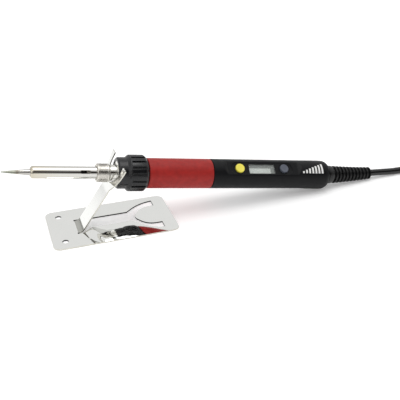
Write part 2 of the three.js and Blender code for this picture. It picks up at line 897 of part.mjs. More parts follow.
const entryRadius = 3.3;
const plugGroup = new THREE.Group();
plugGroup.position.set(plug.x, plug.y, coilTop + gap + entryRadius * Math.cos(plug.tilt * rad));
plugGroup.rotation.y = -plug.tilt * rad;
station.add(plugGroup);

function plugBody() {
  const body = turned(
    [
      [0, 0],
      [0, entryRadius],
      [17, 4.6],
      [19, 7.5],
      [29, 11.5],
      [35, 17],
      [38, plug.rim],
      [plug.length - 1, plug.rim],
      [plug.length, plug.rim - 1],
      [plug.length, 0],
    ],
    28,
  );
  const slots = [-1, 1].map((s) => {
    const [low, high] = s > 0 ? [plug.rim - 3.4, plug.rim + 1] : [-plug.rim - 1, -plug.rim + 3.4];
    return block(plug.length - 14, plug.length + 1, -2.8, 2.8, low, high);
  });
  return cut(body, ...slots);
}
add(plugGroup, 'plug_body', plugBody(), paint.rubber);

for (const [name, side] of [['plug_pin_live', 1], ['plug_pin_neutral', -1]]) {
  const pin = turned(
    [
      [plug.length + gap, 0],
      [plug.length + gap, plug.pinRadius],
      [plug.length + plug.pinLength - 1.5, plug.pinRadius],
      [plug.length + plug.pinLength, 1.2],
      [plug.length + plug.pinLength, 0],
    ],
    20,
  );
  add(plugGroup, name, pin.translate(0, (side * plug.pinSpacing) / 2, 0), paint.brass);
}
for (const [name, side] of [['plug_earth_clip_top', 1], ['plug_earth_clip_bottom', -1]]) {
  const [low, high] = [plug.rim - 3.1, plug.rim - 2.3];
  const [z0, z1] = side > 0 ? [low, high] : [-high, -low];
  add(plugGroup, name, block(plug.length - 13.6, plug.length - 0.6, -2, 2, z0, z1), paint.brass);
}

export default station;
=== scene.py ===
import math

import bmesh
import bpy
from mathutils import Euler, Matrix, Vector
from mathutils.geometry import delaunay_2d_cdt


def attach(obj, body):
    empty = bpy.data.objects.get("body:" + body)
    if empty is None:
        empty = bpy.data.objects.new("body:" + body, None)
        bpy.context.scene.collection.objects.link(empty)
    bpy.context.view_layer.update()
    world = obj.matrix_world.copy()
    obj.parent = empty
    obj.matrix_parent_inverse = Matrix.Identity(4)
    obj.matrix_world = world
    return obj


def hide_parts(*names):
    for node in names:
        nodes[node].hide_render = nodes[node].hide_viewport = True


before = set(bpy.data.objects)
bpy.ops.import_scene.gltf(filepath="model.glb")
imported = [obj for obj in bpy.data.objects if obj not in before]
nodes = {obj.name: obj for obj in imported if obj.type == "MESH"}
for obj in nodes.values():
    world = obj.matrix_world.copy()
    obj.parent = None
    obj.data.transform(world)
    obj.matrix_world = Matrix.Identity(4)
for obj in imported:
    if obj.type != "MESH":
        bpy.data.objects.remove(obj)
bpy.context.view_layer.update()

scene = bpy.context.scene
print("frame loaded:", len(nodes), "parts")

# Everything below is laid out in millimetres and put in place by one of these.

lean = {"tipX": -125.78, "pitch": 9.8, "roll": 38.5, "restStation": 212.7, "restRadius": 9.95}
pitch, roll = math.radians(lean["pitch"]), math.radians(lean["roll"])
tipHeight = lean["restRadius"] * math.cos(pitch) + lean["restStation"] * math.sin(pitch)
benchSpace = Matrix.Scale(0.001, 4)
leanSpace = benchSpace @ Matrix.Translation((lean["tipX"], 0, tipHeight)) @ Matrix.Rotation(pitch, 4, "Y")
ironSpace = leanSpace @ Matrix.Rotation(roll, 4, "X")  # x runs back from the tip, z is square to the panel


shot = {
    "place": (-0.12855, -0.3661, 0.22166),
    "tilt": 60.78,  # from straight down
    "heading": -18.857,
    "lens": 60.37,
    "sensor": 36.0,
}
camera = bpy.data.objects.new("camera", bpy.data.cameras.new("camera"))
camera.location = shot["place"]
camera.rotation_euler = (math.radians(shot["tilt"]), 0, math.radians(shot["heading"]))
camera.data.sensor_fit = "HORIZONTAL"
camera.data.sensor_width = shot["sensor"]
camera.data.lens = shot["lens"]
camera.data.clip_start = 0.01
camera.data.clip_end = 50
scene.collection.objects.link(camera)
scene.camera = camera
print("camera set")


def link(name, data):
    piece = bpy.data.objects.new(name, data)
    scene.collection.objects.link(piece)
    return piece


def remove(piece):
    data = piece.data
    bpy.data.objects.remove(piece)
    if data is not None and data.users == 0:
        (bpy.data.curves if isinstance(data, bpy.types.Curve) else bpy.data.meshes).remove(data)


def fromLists(name, points, faces, kinds=None):
    mesh = bpy.data.meshes.new(name)
    mesh.from_pydata([tuple(p) for p in points], [], faces)
    if kinds:
        mesh.polygons.foreach_set("material_index", kinds)
    grid = bmesh.new()
    grid.from_mesh(mesh)
    bmesh.ops.remove_doubles(grid, verts=grid.verts, dist=1e-5)
    bmesh.ops.recalc_face_normals(grid, faces=grid.faces)
    grid.to_mesh(mesh)
    grid.free()
    return link(name, mesh)


def smoothShade(piece, angle=32):
    mesh = piece.data
    mesh.polygons.foreach_set("use_smooth", [True] * len(mesh.polygons))
    mesh.set_sharp_from_angle(angle=math.radians(angle))
    return piece


def settle(piece):
    # turns what the modifiers show into the piece's own mesh
    seen = piece.evaluated_get(bpy.context.evaluated_depsgraph_get())
    mesh = bpy.data.meshes.new_from_object(seen)
    old = piece.data
    if isinstance(old, bpy.types.Mesh):
        piece.modifiers.clear()
        piece.data = mesh
        mesh.name = piece.name
        bpy.data.meshes.remove(old)
        return piece
    name = piece.name
    remove(piece)
    return link(name, mesh)


def carve(piece, operation, *tools):
    for tool in tools:
        step = piece.modifiers.new("carve", "BOOLEAN")
        step.operation = operation
        step.solver = "MANIFOLD"
        step.object = tool
        settle(piece)
        remove(tool)
    return piece


def roundEdges(piece, width, segments=2, angle=40):
    step = piece.modifiers.new("edges", "BEVEL")
    step.width = width
    step.segments = segments
    step.limit_method = "ANGLE"
    step.angle_limit = math.radians(angle)
    step.use_clamp_overlap = True
    return settle(piece)


def place(piece, space, angle=32):
    piece.data.transform(space)
    return smoothShade(piece, angle)


def softened(profile, closed, steps=4):
    # each corner (x, r, size) of the outline becomes a small arc
    found = []
    count = len(profile)
    for i, corner in enumerate(profile):
        here = Vector(corner[:2])
        size = corner[2] if len(corner) > 2 else 0
        if size <= 0 or (not closed and i in (0, count - 1)):
            found.append(here)
            continue
        before, after = Vector(profile[i - 1][:2]), Vector(profile[(i + 1) % count][:2])
        back = min(size, 0.48 * (before - here).length)
        ahead = min(size, 0.48 * (after - here).length)
        first = here + (before - here).normalized() * back
        last = here + (after - here).normalized() * ahead
        for k in range(steps + 1):
            t = k / steps
            found.append(first * (1 - t) ** 2 + here * 2 * t * (1 - t) + last * t**2)
    return found


def turned(name, profile, sides=96, steps=4):
    # a solid turned about the x axis from (x, radius, corner) points
    closed = not (profile[0][1] == 0 and profile[-1][1] == 0)
    line = softened(profile, closed, steps)
    points, rings = [], []
    for x, r in line:
        if r < 1e-6:
            rings.append([len(points)] * sides)
            points.append((x, 0, 0))
        else:
            rings.append(list(range(len(points), len(points) + sides)))
            for k in range(sides):
                a = 2 * math.pi * k / sides
                points.append((x, r * math.cos(a), r * math.sin(a)))
    faces = []
    pairs = zip(rings, rings[1:] + rings[:1]) if closed else zip(rings, rings[1:])
    for low, high in pairs:
        for k in range(sides):
            n = (k + 1) % sides
            face = [low[k], low[n], high[n], high[k]]
            face = [v for i, v in enumerate(face) if v != face[i - 1]]
            if len(face) > 2:
                faces.append(face)
    return fromLists(name, points, faces)


def onCircle(x, y, r, degrees):
    a = math.radians(degrees)
    return (x + r * math.cos(a), y + r * math.sin(a))


def arc(x, y, r, start, end, steps):
    return [onCircle(x, y, r, start + (end - start) * k / steps) for k in range(steps + 1)]


def ringFaces(count, rings):
    # the faces between neighbouring rings of count points
    found = []
    for k in range(rings - 1):
        for i in range(count):
            n = (i + 1) % count
            found.append([k * count + i, k * count + n, (k + 1) * count + n, (k + 1) * count + i])
    return found


def endFaces(count, rings):
    return [list(range(count)), [(rings - 1) * count + i for i in range(count)]]


def sector(name, profile, half, steps=8):
    # a block that follows the round of a turned piece, half degrees to each side of z
    points = []
    count = len(profile)
    for k in range(steps + 1):
        a = math.radians(half) * (2 * k / steps - 1)
        points += [(x, r * math.sin(a), r * math.cos(a)) for x, r in profile]
    return fromLists(name, points, ringFaces(count, steps + 1) + endFaces(count, steps + 1))


def box(name, low, high):
    xs, ys, zs = zip(low, high)
    points = [(x, y, z) for x in xs for y in ys for z in zs]
    faces = [(0, 1, 3, 2), (4, 6, 7, 5), (0, 4, 5, 1), (2, 3, 7, 6), (0, 2, 6, 4), (1, 5, 7, 3)]
    return fromLists(name, points, faces)


def post(name, x, y, low, high, radius, sides=40):
    piece = turned(name, [(low, 0), (low, radius), (high, radius), (high, 0)], sides)
    piece.data.transform(Matrix.Translation((x, y, 0)) @ Matrix.Rotation(-math.pi / 2, 4, "Y"))
    return piece


def stack(name, layers):
    # closed skin over outlines with the same number of points, lowest first
    count, rings = len(layers[0]), len(layers)
    points = [p for layer in layers for p in layer]
    return fromLists(name, points, endFaces(count, rings) + ringFaces(count, rings))


def slotOutline(start, end, half, z, steps=16):
    line = arc(end - half, 0, half, -90, 90, steps) + arc(start + half, 0, half, 90, 270, steps)
    return [(x, y, z) for x, y in line]


def slotCutter(name, start, end, half, floor, rim, soft):
    # cuts a pocket with a rounded foot and an eased rim
    layers = []
    for k in range(4):
        a = math.pi / 2 * k / 3
        inset = soft * (1 - math.sin(a))
        z = floor + soft * (1 - math.cos(a))
        layers.append(slotOutline(start + inset, end - inset, half - inset, z))
    layers.append(slotOutline(start, end, half, rim - soft))
    wider = soft * 1.4
    for z in (rim + soft * 0.4, rim + 3):
        layers.append(slotOutline(start - wider, end + wider, half + wider, z))
    return stack(name, layers)


def swept(name, centres, radii, sides=32):
    # a round section carried along a line in the x-z plane
    points = []
    for i, (centre, r) in enumerate(zip(centres, radii)):
        ahead = (centres[min(i + 1, len(centres) - 1)] - centres[max(i - 1, 0)]).normalized()
        up = ahead.cross(Vector((0, 1, 0)))
        for k in range(sides):
            a = 2 * math.pi * k / sides
            points.append(centre + Vector((0, 1, 0)) * r * math.cos(a) + up * r * math.sin(a))
    return fromLists(name, points, ringFaces(sides, len(centres)) + endFaces(sides, len(centres)))


def inside(loops, x, y):
    odd = False
    for loop in loops:
        for (ax, ay), (bx, by) in zip(loop, loop[1:] + loop[:1]):
            if (ay > y) != (by > y) and x < (bx - ax) * (y - ay) / (by - ay) + ax:
                odd = not odd
    return odd


def divided(loop, spacing):
    found = []
    for a, b in zip(loop, loop[1:] + loop[:1]):
        start, end = Vector(a), Vector(b)
        parts = max(1, math.ceil((end - start).length / spacing((a[0] + b[0]) / 2)))
        found += [tuple(start.lerp(end, k / parts)) for k in range(parts)]
    return found


def shrunk(loop, by):
    # the loop moved to its left, which is the side of the sheet
    found = []
    for i, corner in enumerate(loop):
        before = (Vector(corner) - Vector(loop[i - 1])).normalized()
        after = (Vector(loop[(i + 1) % len(loop)]) - Vector(corner)).normalized()
        left = Vector((-before.y - after.y, before.x + after.x))
        reach = by / max(0.35, left.length / 2)
        found.append(tuple(Vector(corner) + left.normalized() * reach))
    return found


def sheet(name, loops, thick, edge, spacing, bend, kindOf):
    # sheet metal cut to the loops: the first runs left round the sheet, and holes run right.
    # bend(u, v, h) says where a point of the flat sheet, h above its middle, ends up, and
    # kindOf(loop, u, v) which finish a face takes, with no loop for the two skins.
    loops = [divided(loop, spacing) for loop in loops]
    inner = [shrunk(loop, edge) for loop in loops]
    flat, edges = [], []
    for loop in inner:
        first = len(flat)
        flat += loop
        edges += [(first + i, first + (i + 1) % len(loop)) for i in range(len(loop))]
    border = len(flat)
    us, vs = [p[0] for p in flat], [p[1] for p in flat]
    u = min(us)
    while u < max(us):
        step = spacing(u)
        u += step
        v = min(vs) + 0.5
        while v < max(vs):
            near = 0.45 * min(step, spacing(min(us) + 1e3))
            clear = all((p[0] - u) ** 2 + (p[1] - v) ** 2 > near**2 for p in flat[:border])
            if clear and inside(inner, u, v):
                flat.append((u, v))
            v += max(step, 0.9)
    made = delaunay_2d_cdt([Vector(p) for p in flat], edges, [], 0, 1e-7)
    at = {old: new for new, olds in enumerate(made[3]) for old in olds}
    skin = [p.to_tuple() for p in made[0]]
    kept = []
    for face in made[2]:
        x, y = (sum(skin[i][k] for i in face) / 3 for k in (0, 1))
        if inside(inner, x, y):
            kept.append(list(face))
    half, count = thick / 2, len(skin)
    points = [bend(x, y, half) for x, y in skin] + [bend(x, y, -half) for x, y in skin]
    faces = kept + [[count + i for i in reversed(face)] for face in kept]
    kinds = [kindOf(None, *(sum(skin[i][k] for i in face) / 3 for k in (0, 1))) for face in kept] * 2
    first = 0
    for number, loop in enumerate(loops):
        size, start = len(loop), len(points)
        points += [bend(x, y, half - edge) for x, y in loop] + [bend(x, y, edge - half) for x, y in loop]
        for i in range(size):
            n = (i + 1) % size
            top = [at[first + i], at[first + n]]
            faces.append([top[0], top[1], start + n, start + i])
            faces.append([start + i, start + n, start + size + n, start + size + i])
            faces.append([start + size + i, start + size + n, count + top[1], count + top[0]])
            kinds += [kindOf(number, *loop[i])] * 3
        first += size
    return fromLists(name, points, faces, kinds)


def addInputs(tree, inputs):
    for label, kind, value in inputs:
        socket = tree.interface.new_socket(label, in_out="INPUT", socket_type="NodeSocket" + kind)
        if value is not None:
            socket.default_value = value


def addOutputs(tree, outputs):
    for label, kind in outputs:
        tree.interface.new_socket(label, in_out="OUTPUT", socket_type="NodeSocket" + kind)


def feed(tree, socket, value):
    # links an output, or sets a plain value
    if isinstance(value, bpy.types.NodeSocket):
        tree.links.new(value, socket)
    else:
        socket.default_value = value


def combined(tree, operation, first, second):
    node = tree.nodes.new("ShaderNodeMath")
    node.operation = operation
    feed(tree, node.inputs[0], first)
    feed(tree, node.inputs[1], second)
    return node.outputs[0]


def geometryTree(name, inputs):
    tree = bpy.data.node_groups.new(name, "GeometryNodeTree")
    addInputs(tree, [("Geometry", "Geometry", None), *inputs])
    addOutputs(tree, [("Geometry", "Geometry")])
    return tree, tree.nodes.new("NodeGroupInput"), tree.nodes.new("NodeGroupOutput")


def runTree(piece, tree, values):
    step = piece.modifiers.new(tree.name, "NODES")
    step.node_group = tree
    for item in tree.interface.items_tree:
        if item.item_type == "SOCKET" and item.in_out == "INPUT" and item.name in values:
            step[item.identifier] = values[item.name]
    return settle(piece)


def endTree(tree, source, given, put):
    # realized, given its finish, and out
    real = tree.nodes.new("GeometryNodeRealizeInstances")
    dress = tree.nodes.new("GeometryNodeSetMaterial")
    tree.links.new(source, real.inputs["Geometry"])
    tree.links.new(real.outputs["Geometry"], dress.inputs["Geometry"])
    tree.links.new(given.outputs["Finish"], dress.inputs["Material"])
    tree.links.new(dress.outputs["Geometry"], put.inputs["Geometry"])


def ringTree():
    # repeats a piece round the x axis
    tree, given, put = geometryTree(
        "repeatRound", [("Count", "Int", 12), ("Turn", "Float", 0.0), ("Finish", "Material", None)]
    )
    new, join = tree.nodes.new, tree.links.new
    dots, index = new("GeometryNodePoints"), new("GeometryNodeInputIndex")
    spin, turn = new("ShaderNodeCombineXYZ"), new("FunctionNodeEulerToRotation")
    copy = new("GeometryNodeInstanceOnPoints")
    share = combined(tree, "DIVIDE", index.outputs[0], given.outputs["Count"])
    angle = combined(tree, "MULTIPLY", share, 2 * math.pi)
    join(combined(tree, "ADD", angle, given.outputs["Turn"]), spin.inputs["X"])
    join(spin.outputs[0], turn.inputs[0])
    join(given.outputs["Count"], dots.inputs["Count"])
    join(dots.outputs[0], copy.inputs["Points"])
    join(given.outputs["Geometry"], copy.inputs["Instance"])
    join(turn.outputs[0], copy.inputs["Rotation"])
    endTree(tree, copy.outputs["Instances"], given, put)
    return tree


def pathTree():
    # repeats a rib along a line, growing smaller towards its end
    tree, given, put = geometryTree("repeatAlong", [
        ("Count", "Int", 11), ("Rib", "Object", None), ("Finish", "Material", None),
        ("First size", "Float", 1.0), ("Last size", "Float", 0.8),
    ])
    new, join = tree.nodes.new, tree.links.new
    dots, index = new("GeometryNodeCurveToPoints"), new("GeometryNodeInputIndex")
    size, rib = new("ShaderNodeMapRange"), new("GeometryNodeObjectInfo")
    copy = new("GeometryNodeInstanceOnPoints")
    join(given.outputs["Geometry"], dots.inputs["Curve"])
    join(given.outputs["Count"], dots.inputs["Count"])
    join(index.outputs[0], size.inputs["Value"])
    join(combined(tree, "SUBTRACT", given.outputs["Count"], 1), size.inputs["From Max"])
    join(given.outputs["First size"], size.inputs["To Min"])
    join(given.outputs["Last size"], size.inputs["To Max"])
    join(given.outputs["Rib"], rib.inputs["Object"])
    join(dots.outputs["Points"], copy.inputs["Points"])
    join(rib.outputs["Geometry"], copy.inputs["Instance"])
    join(dots.outputs["Rotation"], copy.inputs["Rotation"])
    join(size.outputs["Result"], copy.inputs["Scale"])
    endTree(tree, copy.outputs["Instances"], given, put)
    return tree


def pointTree():
    # puts a copy of a fixing at each point
    tree, given, put = geometryTree("placeFixings", [
        ("Fixing", "Object", None), ("Finish", "Material", None),
    ])
    new, join = tree.nodes.new, tree.links.new
    dots, screw = new("GeometryNodeMeshToPoints"), new("GeometryNodeObjectInfo")
    copy = new("GeometryNodeInstanceOnPoints")
    join(given.outputs["Geometry"], dots.inputs["Mesh"])
    join(given.outputs["Fixing"], screw.inputs["Object"])
    join(dots.outputs["Points"], copy.inputs["Points"])
    join(screw.outputs["Geometry"], copy.inputs["Instance"])
    endTree(tree, copy.outputs["Instances"], given, put)
    return tree


repeatRound, repeatAlong, placeFixings = ringTree(), pathTree(), pointTree()


def mixed(tree, share, first, second):
    # the first colour where share is 0, the second where it is 1
    node = tree.nodes.new("ShaderNodeMix")
    node.data_type = "RGBA"
    for socket, value in ((node.inputs[0], share), (node.inputs[6], first), (node.inputs[7], second)):
        feed(tree, socket, value)
    return node.outputs[2]


def mapped(tree, value, low, high):
    # 0 up to low and 1 from high on
    node = tree.nodes.new("ShaderNodeMapRange")
    node.inputs["From Min"].default_value = low
    node.inputs["From Max"].default_value = high
    tree.links.new(value, node.inputs["Value"])
    return node.outputs["Result"]


def splitAxes(tree, vector):
    node = tree.nodes.new("ShaderNodeSeparateXYZ")
    tree.links.new(vector, node.inputs[0])
    return node.outputs


def ramp(tree, value, stops):
    node = tree.nodes.new("ShaderNodeValToRGB")
    line = node.color_ramp
    while len(line.elements) > 1:
        line.elements.remove(line.elements[-1])
    line.elements[0].position, line.elements[0].color = stops[0]
    for position, colour in stops[1:]:
        line.elements.new(position).color = colour
    tree.links.new(value, node.inputs[0])
    return node.outputs[0]


def shaderGroup(name, inputs, outputs):
    group = bpy.data.node_groups.new(name, "ShaderNodeTree")
    addInputs(group, [("Vector", "Vector", None), *inputs])
    addOutputs(group, outputs)
    return group, group.nodes.new("NodeGroupInput"), group.nodes.new("NodeGroupOutput")


def grainGroup():
    # small unevenness of a moulded or cast surface, as a normal
    group, given, put = shaderGroup(
        "surfaceGrain",
        [("Scale", "Float", 4.0), ("Amount", "Float", 0.2), ("Depth", "Float", 0.00005)],
        [("Normal", "Vector")],
    )
    new, join = group.nodes.new, group.links.new
    speckle, bump = new("ShaderNodeTexNoise"), new("ShaderNodeBump")
    speckle.inputs["Detail"].default_value = 3
    speckle.inputs["Roughness"].default_value = 0.6
    join(given.outputs["Vector"], speckle.inputs["Vector"])
    join(given.outputs["Scale"], speckle.inputs["Scale"])
    join(speckle.outputs[0], bump.inputs["Height"])
    join(given.outputs["Amount"], bump.inputs["Strength"])
    join(given.outputs["Depth"], bump.inputs["Distance"])
    join(bump.outputs[0], put.inputs["Normal"])
    return group


def handlingGroup():
    # where hands and time have made the surface shinier or duller
    group, given, put = shaderGroup(
        "handlingWear",
        [("Scale", "Float", 0.2), ("Shiny", "Float", 0.3), ("Dull", "Float", 0.5)],
        [("Roughness", "Float")],
    )
    new, join = group.nodes.new, group.links.new
    cloud, stretch = new("ShaderNodeTexNoise"), new("ShaderNodeMapRange")
    cloud.inputs["Detail"].default_value = 5
    stretch.inputs["From Min"].default_value = 0.32
    stretch.inputs["From Max"].default_value = 0.68
    join(given.outputs["Vector"], cloud.inputs["Vector"])
    join(given.outputs["Scale"], cloud.inputs["Scale"])
    join(cloud.outputs[0], stretch.inputs["Value"])
    join(given.outputs["Shiny"], stretch.inputs["To Min"])
    join(given.outputs["Dull"], stretch.inputs["To Max"])
    join(stretch.outputs["Result"], put.inputs["Roughness"])
    return group


def toneGroup():
    # two close tones of one colour, drifting over the surface
    group, given, put = shaderGroup(
        "toneDrift",
        [("Scale", "Float", 0.15), ("First", "Color", None), ("Second", "Color", None)],
        [("Color", "Color")],
    )
    cloud = group.nodes.new("ShaderNodeTexNoise")
    cloud.inputs["Detail"].default_value = 4
    group.links.new(given.outputs["Vector"], cloud.inputs["Vector"])
    group.links.new(given.outputs["Scale"], cloud.inputs["Scale"])
    tone = mixed(group, cloud.outputs[0], given.outputs["First"], given.outputs["Second"])
    group.links.new(tone, put.inputs["Color"])
    return group


surfaceGrain, handlingWear, toneDrift = grainGroup(), handlingGroup(), toneGroup()


def linear(red, green, blue):
    def one(value):
        value /= 255
        return value / 12.92 if value <= 0.04045 else ((value + 0.055) / 1.055) ** 2.4

    return (one(red), one(green), one(blue), 1)


def spaceOn(tree, space, stretch=(1, 1, 1)):
    # object coordinates in millimetres, along the bench or along the iron
    new, join = tree.nodes.new, tree.links.new
    coordinates, mapping = new("ShaderNodeTexCoord"), new("ShaderNodeMapping")
    mapping.vector_type = "TEXTURE"
    if space == "iron":
        mapping.inputs["Location"].default_value = ironSpace.to_translation()
        mapping.inputs["Rotation"].default_value = Euler((roll, pitch, 0))
    mapping.inputs["Scale"].default_value = [0.001 / s for s in stretch]
    join(coordinates.outputs["Object"], mapping.inputs["Vector"])
    return mapping.outputs[0]


def useGroup(tree, group, values):
    node = tree.nodes.new("ShaderNodeGroup")
    node.node_tree = group
    for label, value in values.items():
        feed(tree, node.inputs[label], value)
    return node.outputs[0]


def finish(name, look):
    material = bpy.data.materials.new(name)
    material.use_nodes = True
    tree = material.node_tree
    shader = tree.nodes["Principled BSDF"]
    vector = spaceOn(tree, look.get("space", "bench"), look.get("stretch", (1, 1, 1)))
    if "tones" in look:
        first, second = (linear(*tone) for tone in look["tones"])
        scale = look.get("toneScale", 0.15)
        base = useGroup(tree, toneDrift, {"Vector": vector, "Scale": scale, "First": first, "Second": second})
    elif "along" in look:  # the colour changes with the distance from the tip
        first, last, stops = look["along"]
        station = mapped(tree, splitAxes(tree, spaceOn(tree, "iron"))["X"], first, last)
        base = ramp(tree, station, [(at, linear(*tone)) for at, tone in stops])
    else:  # a pale display with painted shadow of the window's walls, darker towards its back and rear end
        axes = splitAxes(tree, spaceOn(tree, "iron"))
        across, along = (mapped(tree, axes[axis], *look["film"][axis]) for axis in ("Y", "X"))
        glass, film = (linear(*tone) for tone in look["filmTones"])
        base = mixed(tree, combined(tree, "MAXIMUM", across, along), glass, film)
    tree.links.new(base, shader.inputs["Base Color"])
    shiny, dull = look["gloss"]
    scale = look.get("wearScale", 0.25)
    wear = useGroup(tree, handlingWear, {"Vector": vector, "Scale": scale, "Shiny": shiny, "Dull": dull})
    tree.links.new(wear, shader.inputs["Roughness"])
    if "grain" in look:
        scale, amount = look["grain"]
        depth = look.get("grainDepth", 0.00005)
        values = {"Vector": vector, "Scale": scale, "Amount": amount, "Depth": depth}
        tree.links.new(useGroup(tree, surfaceGrain, values), shader.inputs["Normal"])
    for socket, value in look.get("set", {}).items():
        shader.inputs[socket].default_value = value
    return material


looks = {
    "plateSteel": {
        "tones": ((234, 234, 231), (229, 230, 227)), "gloss": (0.025, 0.07), "wearScale": 0.12,
        "grain": (0.3, 0.025), "grainDepth": 0.0003, "set": {"Metallic": 1.0},
    },
    "brightEdge": {
        "tones": ((218, 216, 206), (204, 202, 192)), "gloss": (0.26, 0.4), "wearScale": 0.5,
        "grain": (3.5, 0.2), "grainDepth": 0.0001, "set": {"Metallic": 1.0},
    },
    "foldSteel": {
        "tones": ((186, 186, 180), (174, 174, 168)), "gloss": (0.1, 0.2), "wearScale": 0.3,
        "grain": (1.5, 0.12), "grainDepth": 0.0001, "set": {"Metallic": 1.0},
    },
    # the same sheared edge as brightEdge, painted dark as the shade on the plate's inner cut walls
    "cutEdge": {
        "tones": ((48, 47, 45), (32, 31, 30)), "gloss": (0.38, 0.6), "wearScale": 0.5,
        "grain": (3.5, 0.4), "grainDepth": 0.0001, "set": {"Metallic": 1.0},
    },
    "nutSteel": {
        "tones": ((214, 211, 204), (196, 192, 184)), "gloss": (0.22, 0.34), "space": "iron",
        "grain": (2.5, 0.2), "set": {"Metallic": 1.0},
    },
    "socketSteel": {
        "tones": ((225, 224, 218), (206, 204, 197)), "gloss": (0.1, 0.2), "space": "iron",
        "grain": (1.5, 0.06), "set": {"Metallic": 1.0},
    },
    "handlePlastic": {
        "tones": ((13, 14, 17), (9, 10, 12)), "gloss": (0.36, 0.5), "space": "iron", "toneScale": 0.08,
        "grain": (5.5, 0.35), "grainDepth": 0.00008, "set": {"Specular IOR Level": 0.17},
    },
    "capPlastic": {
        "tones": ((18, 19, 22), (9, 10, 12)), "gloss": (0.2, 0.32), "space": "iron", "toneScale": 0.2,
        "grain": (4.5, 0.3), "grainDepth": 0.00008, "set": {"Specular IOR Level": 0.45},
    },
    "gripRubber": {
        "tones": ((182, 40, 34), (128, 22, 21)), "gloss": (0.4, 0.54), "space": "iron", "toneScale": 0.32,
        "grain": (7, 0.5), "grainDepth": 0.00012, "set": {"Specular IOR Level": 0.3},
    },
    "reliefRubber": {
        "tones": ((11, 11, 12), (7, 7, 8)), "gloss": (0.24, 0.38), "grain": (5, 0.2), "grainDepth": 0.00006,
        "set": {"Specular IOR Level": 0.36},
    },
    "cordRubber": {
        "tones": ((9, 9, 10), (6, 6, 7)), "gloss": (0.15, 0.24), "grain": (2.5, 0.08), "grainDepth": 0.00005,
        "set": {"Specular IOR Level": 0.5},
    },
    "plugRubber": {
        "tones": ((19, 19, 20), (13, 13, 14)), "gloss": (0.34, 0.5),
        "grain": (4, 0.35), "grainDepth": 0.00008,
    },
    "buttonYellow": {
        "tones": ((243, 232, 96), (236, 221, 76)), "gloss": (0.3, 0.42), "space": "iron", "grain": (5, 0.15),
    },
    "buttonSlate": {
        "tones": ((88, 93, 105), (72, 77, 89)), "gloss": (0.34, 0.46), "space": "iron", "grain": (5, 0.15),
    },
    "screwZinc": {
        "tones": ((172, 174, 178), (142, 144, 148)), "gloss": (0.24, 0.42), "space": "iron",
        "grain": (3, 0.25), "set": {"Metallic": 1.0},
    },
    "tieNylon": {
        "tones": ((232, 232, 228), (216, 216, 211)), "gloss": (0.34, 0.46), "grain": (3, 0.15),
    },
    "pinBrass": {
        "tones": ((222, 205, 150), (200, 176, 112)), "gloss": (0.16, 0.32),
        "grain": (2, 0.12), "set": {"Metallic": 1.0},
    },
    "heaterCeramic": {
        "tones": ((236, 231, 220), (214, 206, 190)), "gloss": (0.5, 0.68), "space": "iron", "grain": (6, 0.4),
    },
    "boardGreen": {
        "tones": ((34, 96, 62), (24, 76, 48)), "gloss": (0.28, 0.4), "space": "iron",
        "toneScale": 0.6, "grain": (2, 0.2),
    },
    "partBlack": {
        "tones": ((36, 36, 38), (26, 26, 28)), "gloss": (0.4, 0.55), "space": "iron", "grain": (6, 0.3),
    },
    "capacitorFilm": {
        "tones": ((190, 104, 48), (160, 80, 34)), "gloss": (0.28, 0.42), "space": "iron", "grain": (3, 0.2),
    },
    "markInk": {
        "tones": ((238, 238, 236), (222, 222, 220)), "gloss": (0.45, 0.6), "space": "iron", "grain": (6, 0.2),
    },
    "leadWhite": {"tones": ((236, 235, 230), (218, 216, 208)), "gloss": (0.4, 0.5), "grain": (4, 0.2)},
    "wireBlue": {"tones": ((44, 82, 166), (34, 66, 138)), "gloss": (0.36, 0.48), "grain": (4, 0.2)},
    "wireBrown": {"tones": ((96, 60, 36), (78, 48, 28)), "gloss": (0.36, 0.48), "grain": (4, 0.2)},
    "wireGreen": {"tones": ((130, 170, 62), (104, 142, 46)), "gloss": (0.36, 0.48), "grain": (4, 0.2)},
    "tipPlating": {  # tinned point, plated steel, and dark from where it goes into the barrel, painting the shade inside the vent
        "along": (0, 22, (
            (0.0, (150, 154, 140)), (0.34, (158, 160, 148)), (0.42, (140, 134, 122)),
            (0.5, (176, 174, 168)), (0.78, (190, 188, 184)), (0.84, (44, 42, 40)),
        )),
        "gloss": (0.12, 0.24), "space": "iron", "grain": (2, 0.12), "set": {"Metallic": 1.0},
    },
    "barrelSteel": {  # straw coloured near the hot front, with faint draw lines along it
        "along": (14, 60, (
            (0.0, (196, 188, 168)), (0.12, (204, 198, 184)), (0.4, (208, 206, 199)), (1.0, (208, 207, 204)),
        )),
        "gloss": (0.03, 0.07), "space": "iron", "stretch": (0.05, 1, 1), "wearScale": 1.2,
        "grain": (1.6, 0.012), "set": {"Metallic": 1.0},
    },
    "displayGrey": {  # pale glass with painted shadow of the window's walls along its back and its rear end
        "filmTones": ((206, 213, 207), (122, 128, 124)), "film": {"Y": (0.7, 1.1), "X": (171.6, 172.2)},
        "gloss": (0.16, 0.24), "space": "iron", "grain": (0.5, 0.02),
    },
    "windowClear": {
        "tones": ((236, 240, 238), (228, 234, 231)), "gloss": (0.02, 0.06), "space": "iron",
        "set": {"Alpha": 0.07},
    },
}
finishes = {name: finish(name, look) for name, look in looks.items()}
print("finishes ready:", len(finishes))


def dress(piece, finishName, body, slot, *stoodFor):
    if piece.data.materials:
        piece.data.materials.clear()
    piece.data.materials.append(finishes[finishName])
    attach(piece, body)
    if stoodFor:
        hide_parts(*stoodFor)
    return piece


